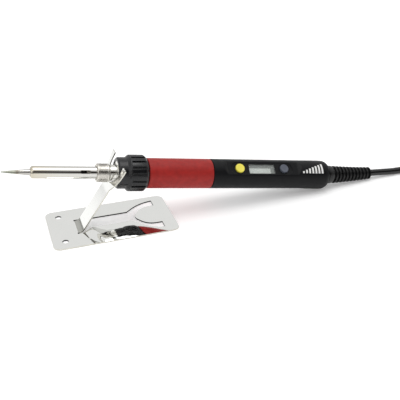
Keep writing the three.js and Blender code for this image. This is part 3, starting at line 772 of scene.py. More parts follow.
cordRoute = {
    "radius": 2.35,
    "centre": (203, 12),
    "turns": (32.7, 27.9, 23.1, 18.3),  # middle of each turn from the coil's centre
    "layers": (3.25, 8.05),
    "stepAngle": 60,  # degrees in which a turn moves over beside the next
    "pointsPerTurn": 36,
    "wholeTurns": 7,
    "lead": (
        (121.7, 0, 4.6), (124.2, 0, 4.4), (130, 0, 3.9), (137, 0, 3.2), (144, 0, 2.6), (151, 0, 2.4),
        (158, -1.2, 2.4), (165, -5, 2.4), (171.5, -11.4, 2.4), (178, -17.4, 2.6), (184, -20.65, 2.9),
        (193, -20.7, 3.15),
    ),
    "leaveAngle": 150,  # where the last turn tightens to come back over the coil
    "backCentre": (190.9, 19.1),
    "backTurn": 18.8,
    "climb": (
        (90, 8.05), (105, 8.15), (120, 8.6), (135, 9.3), (150, 10.2), (165, 11.2), (180, 12.1), (195, 12.6),
        (210, 12.8), (225, 12.8), (240, 12.9), (252, 13.15),
    ),
    "end": ((186.7, 0.5, 13.42), (188.6, 0.3, 14.0), (191, 0.3, 14.95)),
}


def coilPoints(route):
    # the lower layer is wound inwards and the upper one outwards, to half of the last turn
    radii = route["turns"] + route["turns"][::-1]
    low, high = route["layers"]
    heights = [low] * len(route["turns"]) + [high] * len(route["turns"])
    count, share, whole = route["pointsPerTurn"], route["stepAngle"] / 360, route["wholeTurns"]
    found = []
    for turn in range(whole + 1):
        for k in range(count if turn < whole else count // 2):
            t = k / count
            move = max(0, (t - (1 - share)) / share)
            move = move * move * (3 - 2 * move)
            after = min(turn + 1, whole)
            r = radii[turn] + (radii[after] - radii[turn]) * move
            z = heights[turn] + (heights[after] - heights[turn]) * move
            a = -math.pi / 2 + 2 * math.pi * t
            found.append((route["centre"][0] + r * math.cos(a), route["centre"][1] + r * math.sin(a), z))
    return found


def tailPoints(route):
    # off the last turn, up over the coil and round to the plug
    found = []
    for angle, height in route["climb"]:
        back = angle >= route["leaveAngle"]
        (x, y), r = (route["backCentre"], route["backTurn"]) if back else (route["centre"], route["turns"][0])
        found.append((*onCircle(x, y, r, angle), height))
    return found + list(route["end"])


def smoothLine(points, parts):
    # a smooth line through the points, parts to each stretch
    line = [Vector(p) for p in points]
    found = []
    for i in range(len(line) - 1):
        a, b = line[i], line[i + 1]
        before = line[i - 1] if i else a * 2 - b
        after = line[i + 2] if i + 2 < len(line) else b * 2 - a
        gaps = [max(1e-6, (q - p).length) ** 0.5 for p, q in ((before, a), (a, b), (b, after))]
        first = ((a - before) / gaps[0] - (b - before) / (gaps[0] + gaps[1]) + (b - a) / gaps[1]) * gaps[1]
        last = ((b - a) / gaps[1] - (after - a) / (gaps[1] + gaps[2]) + (after - b) / gaps[2]) * gaps[1]
        for k in range(parts):
            t = k / parts
            found.append(
                a * (2 * t**3 - 3 * t**2 + 1) + first * (t**3 - 2 * t**2 + t)
                + b * (3 * t**2 - 2 * t**3) + last * (t**3 - t**2)
            )
    found.append(line[-1])
    return found


def makeCord(route):
    centreline = smoothLine([*route["lead"], *coilPoints(route), *tailPoints(route)], 2)
    curve = bpy.data.curves.new("mainsCord", "CURVE")
    curve.dimensions = "3D"
    curve.bevel_depth = route["radius"] * 0.001
    curve.bevel_resolution = 6
    curve.use_fill_caps = True
    spline = curve.splines.new("POLY")
    spline.points.add(len(centreline) - 1)
    for dot, p in zip(spline.points, centreline):
        dot.co = (*(benchSpace @ p), 1)
    spline.use_smooth = True
    return link("mainsCord", curve), sum((b - a).length for a, b in zip(centreline, centreline[1:])) * 0.001


mainsCord, cordLength = makeCord(cordRoute)
dress(mainsCord, "cordRubber", "iron", "cord_black", "power_cord", "cord_coil", "cord_tail")
print(f"cord laid: {cordLength:.3f} m")


plug = {
    "place": (188, 0.3, 13.76),
    "tilt": -22,  # degrees, the pins up, as it lies across the coil
    "rim": 18.5, "length": 54,
    "pinRadius": 2.4, "pinLength": 19, "pinSpacing": 19, "clipHalf": 2,
    "ridges": 30, "ridgeSpan": (40.5, 51.5), "ridgeHalf": 2.0, "bandSpan": (39.8, 52.2),
    "neckGrooves": (5, 9, 13), "slotHalf": 2.8, "slotDepth": 14,
}
plugTurn = Matrix.Rotation(math.radians(plug["tilt"]), 4, "Y")
plugSpace = benchSpace @ Matrix.Translation(plug["place"]) @ plugTurn


def hoop(name, start, end, low, high):
    # a plain ring to cut with
    return turned(name, [(start, low), (start, high), (end, high), (end, low)], 96)


def makePlugBody(p):
    rim, end = p["rim"], p["length"]
    body = turned("plugBody", [
        (0, 0), (0, 3.2, 0.6), (3, 3.5, 0.4), (3, 3.9, 0.3), (17, 4.6, 1), (19.5, 7.5, 1.5), (28, 10.5, 4),
        (34.5, 16.6, 3), (38, rim, 1.6), (end, rim, 0.9), (end, rim - 2.2, 0.4), (end - 0.5, rim - 2.6, 0.3),
        (end - 0.5, 0),
    ])
    low, high = p["ridgeSpan"]
    foot, crest = rim - 0.6, rim - 0.02
    ridge = sector("plugRidge", [(low, foot), (low, crest), (high, crest), (high, foot)], p["ridgeHalf"], 2)
    values = {"Count": p["ridges"], "Turn": math.radians(180 / p["ridges"]), "Finish": finishes["plugRubber"]}
    ridges = runTree(ridge, repeatRound, values)
    carve(body, "DIFFERENCE", hoop("plugBand", *p["bandSpan"], rim - 0.35, rim + 1))
    carve(body, "UNION", ridges)
    for x in p["neckGrooves"]:  # flexible neck
        carve(body, "DIFFERENCE", hoop("neckGroove", x, x + 1.6, 3.3, 6))
    half = p["slotHalf"]
    for side in (-1, 1):
        low, high = sorted((side * (rim - 3.4), side * (rim + 1)))
        carve(body, "DIFFERENCE", box("slot", (end - p["slotDepth"], -half, low), (end + 1, half, high)))
    return place(body, plugSpace)


def makePins(p):
    pins = []
    start, end, r = p["length"] - 0.45, p["length"] + p["pinLength"], p["pinRadius"]
    for side, name in ((1, "plugPinLive"), (-1, "plugPinNeutral")):
        pin = turned(name, [(start, 0), (start, r), (end - 1.2, r, 0.7), (end, r - 0.9, 0.7), (end, 0)], 48)
        pin.data.transform(Matrix.Translation((0, side * p["pinSpacing"] / 2, 0)))
        pins.append(place(pin, plugSpace))
    return pins


def makeClips(p):
    clips = []
    for side, name in ((1, "plugClipTop"), (-1, "plugClipBottom")):
        low, high = sorted((side * (p["rim"] - 3.1), side * (p["rim"] - 2.3)))
        clip = box(name, (p["length"] - 13.6, -p["clipHalf"], low), (p["length"] - 0.6, p["clipHalf"], high))
        roundEdges(clip, 0.25, 3)
        clips.append(place(clip, plugSpace))
    return clips


plugBody = dress(makePlugBody(plug), "plugRubber", "iron", "cord_black", "plug_body")
plugPins = makePins(plug)
plugClips = makeClips(plug)
metalNodes = ("plug_pin_live", "plug_pin_neutral", "plug_earth_clip_top", "plug_earth_clip_bottom")
for piece, node in zip(plugPins + plugClips, metalNodes):
    dress(piece, "pinBrass", "iron", "pin_metal", node)
print("plug made")


tie = {
    "inner": 15.35, "outer": 35.45, "low": 0.45, "high": 10.9, "corner": 1.6,
    "half": 2.4, "thick": 0.5, "angle": -55,
    "teeth": 14, "firstTooth": 17.5, "toothStep": 0.55,
}


def makeTie(t):
    # a toothed strap round the coil's section
    def ring(grow, steps=6):
        c = t["corner"] + grow
        x0, x1 = t["inner"] - grow + c, t["outer"] + grow - c
        z0, z1 = t["low"] - grow + c, t["high"] + grow - c
        corners = ((x1, z0, -90), (x1, z1, 0), (x0, z1, 90), (x0, z0, 180))
        return [p for x, z, start in corners for p in arc(x, z, c, start, start + 90, steps)]

    inner, outer = ring(0), ring(t["thick"] - 0.06)
    count = len(inner)
    points, faces = [], []
    for line, y in ((inner, -t["half"]), (outer, -t["half"]), (outer, t["half"]), (inner, t["half"])):
        points += [(x, y, z) for x, z in line]
    for k in range(4):
        for i in range(count):
            n = (i + 1) % count
            m = (k + 1) % 4
            faces.append([k * count + i, k * count + n, m * count + n, m * count + i])
    strap = roundEdges(fromLists("cordTie", points, faces), 0.12, 2, 50)
    tooth = box("tieTooth", (-0.14, -1.5, 0), (0.14, 1.5, 0.12))
    row = bpy.data.meshes.new("tieRow")
    top = t["high"] + t["thick"] - 0.1
    row.from_pydata([(t["firstTooth"] + t["toothStep"] * k, 0, top) for k in range(t["teeth"])], [], [])
    teeth = runTree(link("tieTeeth", row), placeFixings, {"Fixing": tooth, "Finish": finishes["tieNylon"]})
    remove(tooth)
    carve(strap, "UNION", teeth)
    turn = Matrix.Rotation(math.radians(t["angle"]), 4, "Z")
    strap.data.transform(Matrix.Translation((*cordRoute["centre"], 0)) @ turn)
    return place(strap, benchSpace)


cordTie = dress(makeTie(tie), "tieNylon", "iron", "tie_white", "cord_tie")
print("tie made")


stand = {
    "left": -102.7, "length": 78.6, "width": 45.8, "sheet": 0.8, "corner": 4.6, "hole": (7.8, 15, 1.9),
    "foldX": 16.8, "foldRadius": 5, "notch": (0.3, 3.0, 1.2), "armAngle": 54.5, "armHalf": 7.5,
    "headBend": 5.5, "headRadius": 12, "toHeadBend": 27.6, "toApex": 4.2,
    "hornLength": 15, "hornOuter": 17, "hornInner": 11.3, "hornRoot": (0, 10.4), "bayEnd": 12.4,
    "kerf": 0.5, "lift": 2.8, "twist": 2.15, "edge": 0.07,
}
foldLength = stand["foldRadius"] * math.radians(stand["armAngle"])
headLength = stand["headRadius"] * math.radians(stand["headBend"])
armLength = foldLength + stand["toHeadBend"] + headLength + stand["toApex"]


def ease(low, high, value):
    t = min(1, max(0, (value - low) / (high - low)))
    return t * t * (3 - 2 * t)


def stripLift(x, y):
    # the strip in front of the arm is twisted up between its crease and the far end
    middle = -stand["armHalf"] - 6.5 * ease(54, 61, x)
    across = min(1, max(0, (y + stand["width"] / 2) / (stand["width"] / 2 - stand["armHalf"])))
    crease = 20.8 - 0.4 * (y + 10.2)
    along = ease(crease, crease + 6, x) * (1 - ease(46, 74, x))
    return stand["lift"] * (1 - (1 - across) ** stand["twist"]) * along * (1 - ease(middle, middle + 1.6, y))


def quadratic(a, b, c, steps=8):
    # the curve from a to c that b pulls, without its first point
    a, b, c = Vector(a), Vector(b), Vector(c)
    shares = [k / steps for k in range(1, steps + 1)]
    return [tuple(a * (1 - t) ** 2 + b * 2 * t * (1 - t) + c * t**2) for t in shares]


def forkLoop(start, grow):
    # the arm and its head laid flat, x from the bottom of the notch
    arm, outer, inner = stand["armHalf"] + grow, stand["hornOuter"] + grow, stand["hornInner"] - grow
    tip = stand["hornLength"] + grow
    root, bay = (stand["hornRoot"][0], -stand["hornRoot"][1] - grow), (stand["bayEnd"], -inner)
    lower = [(start, -arm), (-3.4, -arm), root] + quadratic(root, (6.4, 0.8 - outer), (tip, -outer))
    lower += [(tip, -inner), bay] + quadratic(bay, (6.2 + grow, -inner), (3 + grow, -6.4))
    lower += [(0.9 + grow, -3)] + quadratic((0.9 + grow, -3), (grow, -1.6), (grow, 0))
    return lower + [(x, -y) for x, y in reversed(lower[:-1])]


def forkPlace(u, v, h):
    # folded up at the plate, straight, bent a little more, and straight again; 0 is a straight run
    s = u + armLength
    x, z, heading = stand["foldX"], stand["sheet"] / 2, 0
    fold, bend = (foldLength, stand["foldRadius"]), (headLength, stand["headRadius"])
    for length, radius in (fold, (stand["toHeadBend"], 0), bend, (1e3, 0)):
        step = min(s, length)
        if radius:
            turn = heading + step / radius
            x += radius * (math.sin(turn) - math.sin(heading))
            z -= radius * (math.cos(turn) - math.cos(heading))
            heading = turn
        else:
            x, z = x + step * math.cos(heading), z + step * math.sin(heading)
        s -= step
        if s <= 0:
            break
    return Vector((x - h * math.sin(heading), v, z + h * math.cos(heading)))


def forkSide(x, y, grow):
    # whether a point of the flat sheet is on the fork's side of the cut
    return x > stand["foldX"] and inside([forkLoop(-armLength, grow)], x - stand["foldX"] - armLength, y)


def standPlace(x, y, h):
    if forkSide(x, y, stand["kerf"] / 2):
        return forkPlace(x - stand["foldX"] - armLength, y, h)
    return Vector((x, y, stand["sheet"] / 2 + h + stripLift(x, y)))


def standKind(loop, x, y):
    # 0 polished, 1 bright edge, 2 the same cut edge painted dark as shade, for the plate's holes and its side
    # of the cut, 3 the drawn skin of the fold
    onFork = forkSide(x, y, stand["kerf"] / 2)
    if loop is None:
        return 3 if onFork and x < stand["foldX"] + foldLength else 0
    return 1 if loop == 0 or onFork else 2


def makeStand(s):
    l, w, c = s["length"], s["width"] / 2, s["corner"]
    plate = arc(l - c, c - w, c, -90, 0, 10) + arc(l - c, w - c, c, 0, 90, 10)
    plate += arc(c, w - c, c, 90, 180, 10) + arc(c, c - w, c, 180, 270, 10)
    before, after, wide = s["notch"]
    first, last = -armLength - before, after - armLength
    notchSide, cutSide = s["armHalf"] + wide, s["armHalf"] + s["kerf"]
    lowEnd = [(first, -notchSide), (last, -notchSide), (last, -cutSide)]
    highEnd = [(x, -y) for x, y in reversed(lowEnd)]
    around = lowEnd + forkLoop(last, s["kerf"])[1:-1] + highEnd + forkLoop(first, 0)[::-1]
    cut = [(x + s["foldX"] + armLength, y) for x, y in reversed(around)]
    hx, hy, hr = s["hole"]
    holes = [list(reversed(arc(hx, side * hy, hr, 0, 350, 35))) for side in (-1, 1)]
    piece = sheet(
        "standSheet", [plate, cut, *holes], s["sheet"], s["edge"],
        lambda x: 0.4 if -0.5 < x - s["foldX"] < foldLength + 0.5 else 1.2, standPlace, standKind,
    )
    piece.data.transform(Matrix.Translation((s["left"], 0, 0)))
    return place(piece, benchSpace, 30)


standSheet = dress(makeStand(stand), "plateSteel", "stand", "polished_steel", "stand")
for finishName in ("brightEdge", "cutEdge", "foldSteel"):
    standSheet.data.materials.append(finishes[finishName])
print("stand made:", len(standSheet.data.polygons), "faces")


hotEnd = {
    "barrelStart": 16.7, "barrelRadius": 3.8, "vent": (45.8, 52.3, 0.95), "ventTurn": 20.5,
    "shank": (18.6, 50, 2.25, 3.05),  # hollow part of the tip: start, end, inner and outer radius
    "rim": (58.6, 60.1, 4.8),  # the barrel's flange, which the nut clamps
    "nutStart": 56, "nutEnd": 63.9, "nutRadius": 5.8, "nutShoulder": 58.2, "ridges": 64, "ridgeHalf": 1.3,
    "socketStart": 60.4, "threadEnd": 64.3, "neckEnd": 68.6, "flangeSpan": (70.2, 71.8), "socketEnd": 79,
    "threadRadius": 4.75, "neckRadius": 5.05, "flangeRadius": 7.9,
}


def makeTip(h):
    start, (low, high, inner, outer) = h["barrelStart"], h["shank"]
    return place(turned("tipCone", [
        (0, 0), (0.08, 0.26, 0.1), (5.5, 0.95, 2), (10.8, 1.38, 2), (start - 0.2, 1.92, 1), (low, 1.95),
        (low, outer, 0.2), (high, outer, 0.2), (high, inner), (24, inner), (22.8, 0),
    ], 64), ironSpace)


def makeBarrel(h):
    start, r = h["barrelStart"], h["barrelRadius"]
    bore, (rimStart, rimEnd, rim) = r - 0.45, h["rim"]
    piece = turned("barrelTube", [
        (start, 2.3, 0.1), (start, 2.9, 0.25), (start + 1.1, r, 0.7), (rimStart, r, 0.1), (rimStart, rim, 0.2),
        (rimEnd, rim, 0.2), (rimEnd, bore), (start + 1.6, bore), (start + 1.2, 2.3),
    ], 128, 6)
    low, high, half = h["vent"]
    vent = stack("vent", [slotOutline(low, high, half, z) for z in (-6, 6)])
    vent.data.transform(Matrix.Rotation(math.radians(h["ventTurn"]), 4, "X"))
    carve(piece, "DIFFERENCE", vent)
    return place(piece, ironSpace)


def makeNut(h):
    low, high, shoulder, r = h["nutStart"], h["nutEnd"], h["nutShoulder"], h["nutRadius"]
    inner, thread = h["barrelRadius"], h["threadRadius"]
    piece = turned("barrelNut", [
        (low + 0.8, inner + 0.3), (low, inner + 0.75, 0.1), (low, r - 0.55, 0.15), (low + 0.5, r - 0.05, 0.3),
        (low + 1.3, r - 0.05, 0.1), (low + 1.4, r - 0.16, 0.1), (high - 1.4, r - 0.16, 0.1),
        (high - 1.3, r - 0.05, 0.1), (high - 0.5, r - 0.05, 0.3), (high, r - 0.5, 0.15),
        (high, thread + 0.3), (shoulder, thread + 0.35), (shoulder, inner + 0.3),
    ])
    foot, crest = r - 0.3, r - 0.09
    ridge = sector("nutRidge", [
        (low + 1.5, foot), (low + 1.5, crest), (high - 1.5, crest), (high - 1.5, foot),
    ], h["ridgeHalf"], 2)
    carve(piece, "UNION", runTree(ridge, repeatRound, {"Count": h["ridges"], "Finish": finishes["nutSteel"]}))
    return place(piece, ironSpace)


def makeSocket(h):
    thread, neck, flange, bore = h["threadRadius"], h["neckRadius"], h["flangeRadius"], 3.4
    start, threadEnd, neckEnd, end, (low, high) = (
        h[key] for key in ("socketStart", "threadEnd", "neckEnd", "socketEnd", "flangeSpan")
    )
    return place(turned("socketFlange", [
        (start, bore), (start, thread, 0.3), (threadEnd, thread, 0.1), (threadEnd, neck, 0.2),
        (neckEnd, neck, 0.4), (neckEnd, 7.35, 0.25), (low, 7.35, 0.15), (low, flange, 0.2),
        (high, flange, 0.2), (high, 5.6), (end, 5.6, 0.3), (end, bore),
    ]), ironSpace)


dress(makeTip(hotEnd), "tipPlating", "barrel", "tip_plating", "tip")
dress(makeBarrel(hotEnd), "barrelSteel", "barrel", "barrel_steel", "barrel")
dress(makeNut(hotEnd), "nutSteel", "barrel_nut", "nut_steel", "barrel_nut")
dress(makeSocket(hotEnd), "socketSteel", "iron", "socket_steel", "heater_socket")
print("hot end made")


cap = {
    "start": 68.3, "ring": 74.1, "end": 87.0, "radius": 9.85, "ringRadius": 11.45, "bore": 8.4, "mouth": 7.5,
    "lip": 69.9, "rear": 9.95, "ribs": 17, "padHalf": 6.9, "groove": 0.9,
}
grip = {"start": 87.7, "crown": 110, "end": 130.3, "radius": 9.55, "bore": 8.4}


def makeCap(c):
    start, ring, end, bore, mouth = c["start"], c["ring"], c["end"], c["bore"], c["mouth"]
    r, big, low = c["radius"], c["ringRadius"], c["ringRadius"] - c["groove"]
    piece = turned("frontCap", [
        (start, mouth, 0.2), (start, r - 0.9, 0.3), (start + 0.8, r, 0.5), (ring, r, 0.4),
        (ring + 1.7, big, 0.6), (ring + 2.4, big, 0.25), (ring + 2.6, low, 0.15), (end - 1.2, low, 0.3),
        (end, c["rear"], 0.3), (end, bore), (c["lip"], bore), (c["lip"], mouth),
    ], 112, 5)
    pad = sector("capPad", [
        (ring + 2.2, low - 0.4), (ring + 2.2, big), (end - 1.8, big), (end - 0.85, low + 0.1),
        (end - 0.85, low - 0.4),
    ], c["padHalf"], 8)
    roundEdges(pad, 0.28, 3, 30)
    carve(piece, "UNION", runTree(pad, repeatRound, {"Count": c["ribs"], "Finish": finishes["capPlastic"]}))
    return place(piece, ironSpace, 30)


def makeGrip(g):
    start, end, r, bore = g["start"], g["end"], g["radius"], g["bore"]
    return place(turned("gripSleeve", [
        (start, bore), (start, r - 0.35, 0.3), (start + 0.35, r, 0.4), (g["crown"], r + 0.02),
        (end - 0.25, r, 0.25), (end, r - 0.2, 0.15), (end, bore),
    ], 128), ironSpace)


dress(makeCap(cap), "capPlastic", "front_cap", "handle_black", "front_cap")
dress(makeGrip(grip), "gripRubber", "iron", "grip_red", "grip_sleeve")
print("front cap and grip made")


handle = {
    "nose": 72.2, "noseRadius": 8.1, "start": 130.6, "radius": 9.6, "end": 217.3,
    "outline": ((130, 9.6, 0), (196, 9.6, 0), (204.1, 9.75, 0.12), (210.5, 9.8, 0.2)),  # radii and drops
    "endRound": 4.8, "endRadius": 9.74, "endFace": 5.9, "endDrop": 0.2,
    "flat": 8.3, "panel": (140.5, 191.5), "rampLength": 4, "soft": 0.25,
    "closeRings": (136.8, 140.5, 191.5, 195.2),  # where the shell's rings lie closer together
    "cavity": (
        (71.2, 0), (71.2, 6.6), (131, 6.6), (133.2, 8.1), (214.7, 8.1), (214.7, 4.6), (222, 4.6), (222, 0),
    ),
    "halfSpan": (60, 230), "halfReach": 15,
    "roof": ((130, -10, 6.5), (214.8, 10, 10)), "recess": (142.5, 187.6, 4.4), "floor": 7.85,
    "lcd": (165.3, 19.0, 6.9), "power": (149.1, 3.1), "set": (181.3, 3.0), "top": 9.0, "clearance": 0.22,
    "screws": ((137.6, 0), (202.1, -5.2), (202.1, 5.2)), "screwDepth": 12, "boss": 2.6, "bore": 1.25,
    "counterbore": 2.0, "counterboreSpan": (-14, -4), "trim": ((131, 0), (131, 9.1), (213, 9.1), (213, 0)),
    "buttonFoot": (5.6, 6.2), "buttonFlange": 0.6, "windowGap": 0.15, "windowSpan": (7, 7.6),
    "screwHead": -5.3, "seam": 0.07,
}
downwards = Vector((0, -math.sin(roll), -math.cos(roll)))


def handleRadius(x):
    # radius at a station, and how far the ring sits towards the bench
    h = handle
    turn = h["end"] - h["endRound"]
    stops = [*h["outline"], (turn, h["endRadius"], h["endDrop"])]
    if x >= turn:
        a = math.asin(min(1, (x - turn) / h["endRound"]))
        return h["endFace"] + (h["endRadius"] - h["endFace"]) * math.cos(a), h["endDrop"] * math.cos(a)
    for (x0, r0, d0), (x1, r1, d1) in zip(stops, stops[1:]):
        if x <= x1:
            t = ease(x0, x1, x)
            return r0 + (r1 - r0) * t, d0 + (d1 - d0) * t


def softMin(a, b, k):
    h = max(0, k - abs(a - b)) / k
    return min(a, b) - h * h * k / 4


def panelHeight(x):
    start, end = handle["panel"]
    away = max(0, start - x, x - end)
    return handle["flat"] + 2 * away / handle["rampLength"]


def handlePoint(x, angle, proud=0):
    r, drop = handleRadius(x)
    if math.cos(angle) > 0.2:
        r = softMin(r, panelHeight(x) / math.cos(angle), handle["soft"])
    r += proud
    return Vector((x, r * math.sin(angle), r * math.cos(angle))) + downwards * drop


def handleBlank(name):
    h = handle
    stations = [h["start"] + 0.01, h["start"] + 0.2]
    x = h["start"] + 0.7
    turn = h["end"] - h["endRound"]
    while x < turn - 0.2:
        near = min(abs(x - s) for s in h["closeRings"])
        stations.append(x)
        x += 0.35 if near < 1.2 else 1.0
    stations += [turn + h["endRound"] * math.sin(math.radians(a)) for a in range(0, 91, 6)]
    sides = 144
    points = []
    for x in stations:
        inset = 0.25 if x < h["start"] + 0.1 else 0
        points += [handlePoint(x, 2 * math.pi * k / sides, -inset) for k in range(sides)]
    body = fromLists(name, points, ringFaces(sides, len(stations)) + endFaces(sides, len(stations)))
    back, r = h["start"] + 1, h["noseRadius"]
    carve(body, "UNION", turned("nose", [(h["nose"], 0), (h["nose"], r, 0.4), (back, r), (back, 0)], 72))
    cavity = turned("cavity", h["cavity"], 72)
    carve(cavity, "DIFFERENCE", box("roof", *h["roof"]))
    return carve(body, "DIFFERENCE", cavity)


def keepHalf(body, h, side):
    # the upper shell is side 1 and the lower -1, each short of the joint by the seam
    (start, end), reach = h["halfSpan"], h["halfReach"]
    low, high = sorted((side * h["seam"], side * reach))
    carve(body, "INTERSECT", box("half", (start, -reach, low), (end, reach, high)))


def easedCutter(name, outline, floor):
    # a straight cutter that widens where it meets the floor; outline(grow) gives its points
    layers = ((0, 5), (0, floor - 0.12), (0.14, floor + 0.02), (0.14, 12))
    return stack(name, [[(x, y, z) for x, y in outline(grow)] for grow, z in layers])


def makeUpper(h):
    body = handleBlank("panelShell")
    keepHalf(body, h, 1)
    low, high, half = h["recess"]
    carve(body, "DIFFERENCE", slotCutter("recess", low, high, half, h["floor"], h["flat"], 0.14))
    centre, length, width = h["lcd"]
    x0, x1, y1 = centre - length / 2, centre + length / 2, width / 2

    def opening(g):
        return [(x0 - g, -y1 - g), (x1 + g, -y1 - g), (x1 + g, y1 + g), (x0 - g, y1 + g)]

    carve(body, "DIFFERENCE", easedCutter("lcdHole", opening, h["floor"]))
    for x, r in (h["power"], h["set"]):
        def hole(g):
            return [onCircle(x, 0, r + h["clearance"] + g, a) for a in range(0, 360, 6)]

        carve(body, "DIFFERENCE", easedCutter("buttonHole", hole, h["floor"]))
    return place(body, ironSpace, 28)


def makeLower(h):
    body = handleBlank("lowerShell")
    keepHalf(body, h, -1)
    for x, y in h["screws"]:
        boss = post("boss", x, y, -h["screwDepth"], -h["seam"], h["boss"])
        carve(boss, "INTERSECT", turned("trim", h["trim"], 96))
        carve(body, "UNION", boss)
    for x, y in h["screws"]:
        outline = [onCircle(x, y, h["counterbore"], a) for a in range(0, 360, 9)]
        rings = [[(*p, z) for p in outline] for z in h["counterboreSpan"]]
        carve(body, "DIFFERENCE", post("bore", x, y, -h["screwDepth"], 1, h["bore"], 32))
        carve(body, "DIFFERENCE", stack("counterbore", rings))
    return place(body, ironSpace, 28)


def makeButton(name, h, x, r):
    # a flange under the shell keeps it in, and its top is dished for a finger
    (low, high), top, wide = h["buttonFoot"], h["top"], r + h["buttonFlange"]
    piece = turned(name, [
        (low, 0), (low, wide, 0.1), (high, wide, 0.1), (high, r), (top, r, 0.55), (top, r - 0.9, 0.3),
        (top - 0.1, r - 1.4, 0.4), (top - 0.14, 0),
    ], 72, 6)
    piece.data.transform(Matrix.Translation((x, 0, 0)) @ Matrix.Rotation(-math.pi / 2, 4, "Y"))
    return place(piece, ironSpace)


def makeWindow(h):
    centre, length, width = h["lcd"]
    x, y, (low, high) = length / 2 - h["windowGap"], width / 2 - h["windowGap"], h["windowSpan"]
    piece = box("lcdWindow", (centre - x, -y, low), (centre + x, y, high))
    roundEdges(piece, 0.12, 2)
    return place(piece, ironSpace)


def makeScrews(h):
    screw = turned("caseScrew", [
        (0, 0), (0, 1.25, 0.35), (0.25, 1.65, 0.3), (0.9, 1.65, 0.15), (0.9, 0.85), (9.4, 0.85, 0.3),
        (9.6, 0),
    ], 40)
    for turn in (0, 90):
        blade = box("blade", (-0.2, -0.95, -0.2), (0.55, 0.95, 0.2))
        blade.data.transform(Matrix.Rotation(math.radians(turn), 4, "X"))
        carve(screw, "DIFFERENCE", blade)
    screw.data.transform(Matrix.Rotation(-math.pi / 2, 4, "Y"))
    spots = bpy.data.meshes.new("screwSpots")
    spots.from_pydata([(x, y, h["screwHead"]) for x, y in h["screws"]], [], [])
    given = {"Fixing": screw, "Finish": finishes["screwZinc"]}
    piece = runTree(link("caseScrews", spots), placeFixings, given)
    remove(screw)
    return place(piece, ironSpace)


mark = {
    "start": 194.6, "bars": 7, "wide": 1.35, "step": 2.4,
    "low": -3.6, "shortest": 1.4, "growth": 0.95, "proud": 0.02,
}


def makeMark(m):
    # seven rising bars printed on the handle, for the heat setting
    points, faces = [], []
    rows, steps = 3, 10
    for bar in range(m["bars"]):
        x0 = m["start"] + bar * m["step"]
        for side in (-0.05, m["proud"]):
            for i in range(rows):
                x = x0 + m["wide"] * i / (rows - 1)
                for k in range(steps + 1):
                    reach = m["low"] + (m["shortest"] + m["growth"] * bar) * k / steps
                    points.append(handlePoint(x, reach / handle["radius"], side))
        first, layer, width = bar * 2 * rows * (steps + 1), rows * (steps + 1), steps + 1
        for i in range(rows - 1):
            for k in range(steps):
                a = first + i * width + k
                faces.append([a, a + 1, a + width + 1, a + width])
                faces.append([layer + a + width, layer + a + width + 1, layer + a + 1, layer + a])
        rim = [i * width for i in range(rows)] + [(rows - 1) * width + k for k in range(1, width)]
        rim += [i * width + steps for i in range(rows - 2, -1, -1)] + list(range(steps - 1, 0, -1))
        for a, b in zip(rim, rim[1:] + rim[:1]):
            faces.append([first + a, first + b, first + layer + b, first + layer + a])
    return place(fromLists("heatMark", points, faces), ironSpace)


panelShell = dress(makeUpper(handle), "handlePlastic", "iron", "handle_black", "handle_upper")
lowerShell = dress(makeLower(handle), "handlePlastic", "iron", "handle_black", "handle_lower")
dress(makeMark(mark), "markInk", "iron", "tie_white")
print("shells made:", len(panelShell.data.polygons), len(lowerShell.data.polygons), "faces")
buttonPower = makeButton("buttonPower", handle, *handle["power"])
dress(buttonPower, "buttonYellow", "power_button", "button_yellow", "button_power")
buttonSet = makeButton("buttonSet", handle, *handle["set"])
dress(buttonSet, "buttonSlate", "set_button", "button_slate", "button_set")
dress(makeWindow(handle), "windowClear", "iron", "window_clear", "lcd_window")
screwNodes = ("case_screw_front", "case_screw_rear_left", "case_screw_rear_right")
dress(makeScrews(handle), "screwZinc", "iron", "screw_zinc", *screwNodes)
print("panel made")


relief = {
    "start": (217.6, 0, 0), "knee": (235.15, 0, 0), "end": (252.9, 0, 1.5), "radius": 6.4, "tipRadius": 4.3,
    "collar": 0.12, "ribs": 11, "ribThick": 1.35, "coreDrop": 1.15,
}


def makeRelief(r):
    first, knee, last = Vector(r["start"]), Vector(r["knee"]), Vector(r["end"])

    def at(t):
        return first * (1 - t) ** 2 + knee * 2 * t * (1 - t) + last * t**2

    def size(t):
        return r["radius"] + (r["tipRadius"] - r["radius"]) * t

    stub = [first + Vector((x, 0, 0)) for x in (-5, -3.2, -3.19)]
    centres, radii = [*stub, first], [5.6, 5.6, 4.3, 4.3]
    centres += [at(0.002), at(0.012), at(r["collar"] - 0.02), at(r["collar"] - 0.005)]
    radii += [size(0) - 0.3, size(0), size(r["collar"]), size(r["collar"]) - 0.25]
    for k in range(41):
        t = r["collar"] + (1 - r["collar"]) * k / 40
        centres.append(at(t))
        radii.append(size(t) - r["coreDrop"])
    piece = swept("strainRelief", centres, radii, 64)
    rib = turned("reliefRib", [(-0.5, 0), (-0.5, 1, 0.3), (0.5, 1, 0.3), (0.5, 0)], 64, 4)
    for v in rib.data.vertices:
        v.co.x *= r["ribThick"]
        v.co.yz = v.co.yz * r["radius"]
    rib.data.transform(Matrix.Rotation(-math.pi / 2, 4, "Y"))
    step = (1 - r["collar"]) / r["ribs"]
    low, high = r["collar"] + 0.775 * step, 1 - 0.225 * step
    path = bpy.data.curves.new("ribPath", "CURVE")
    path.dimensions = "3D"
    spline = path.splines.new("POLY")
    spline.points.add(40)
    for k, dot in enumerate(spline.points):
        dot.co = (*at(low + (high - low) * k / 40), 1)
    ribs = runTree(link("ribPath", path), repeatAlong, {
        "Count": r["ribs"], "Rib": rib, "Finish": finishes["reliefRubber"],
        "First size": size(low) / r["radius"], "Last size": size(high) / r["radius"],
    })
    remove(rib)
    carve(piece, "UNION", ribs)
    return place(piece, leanSpace, 40)


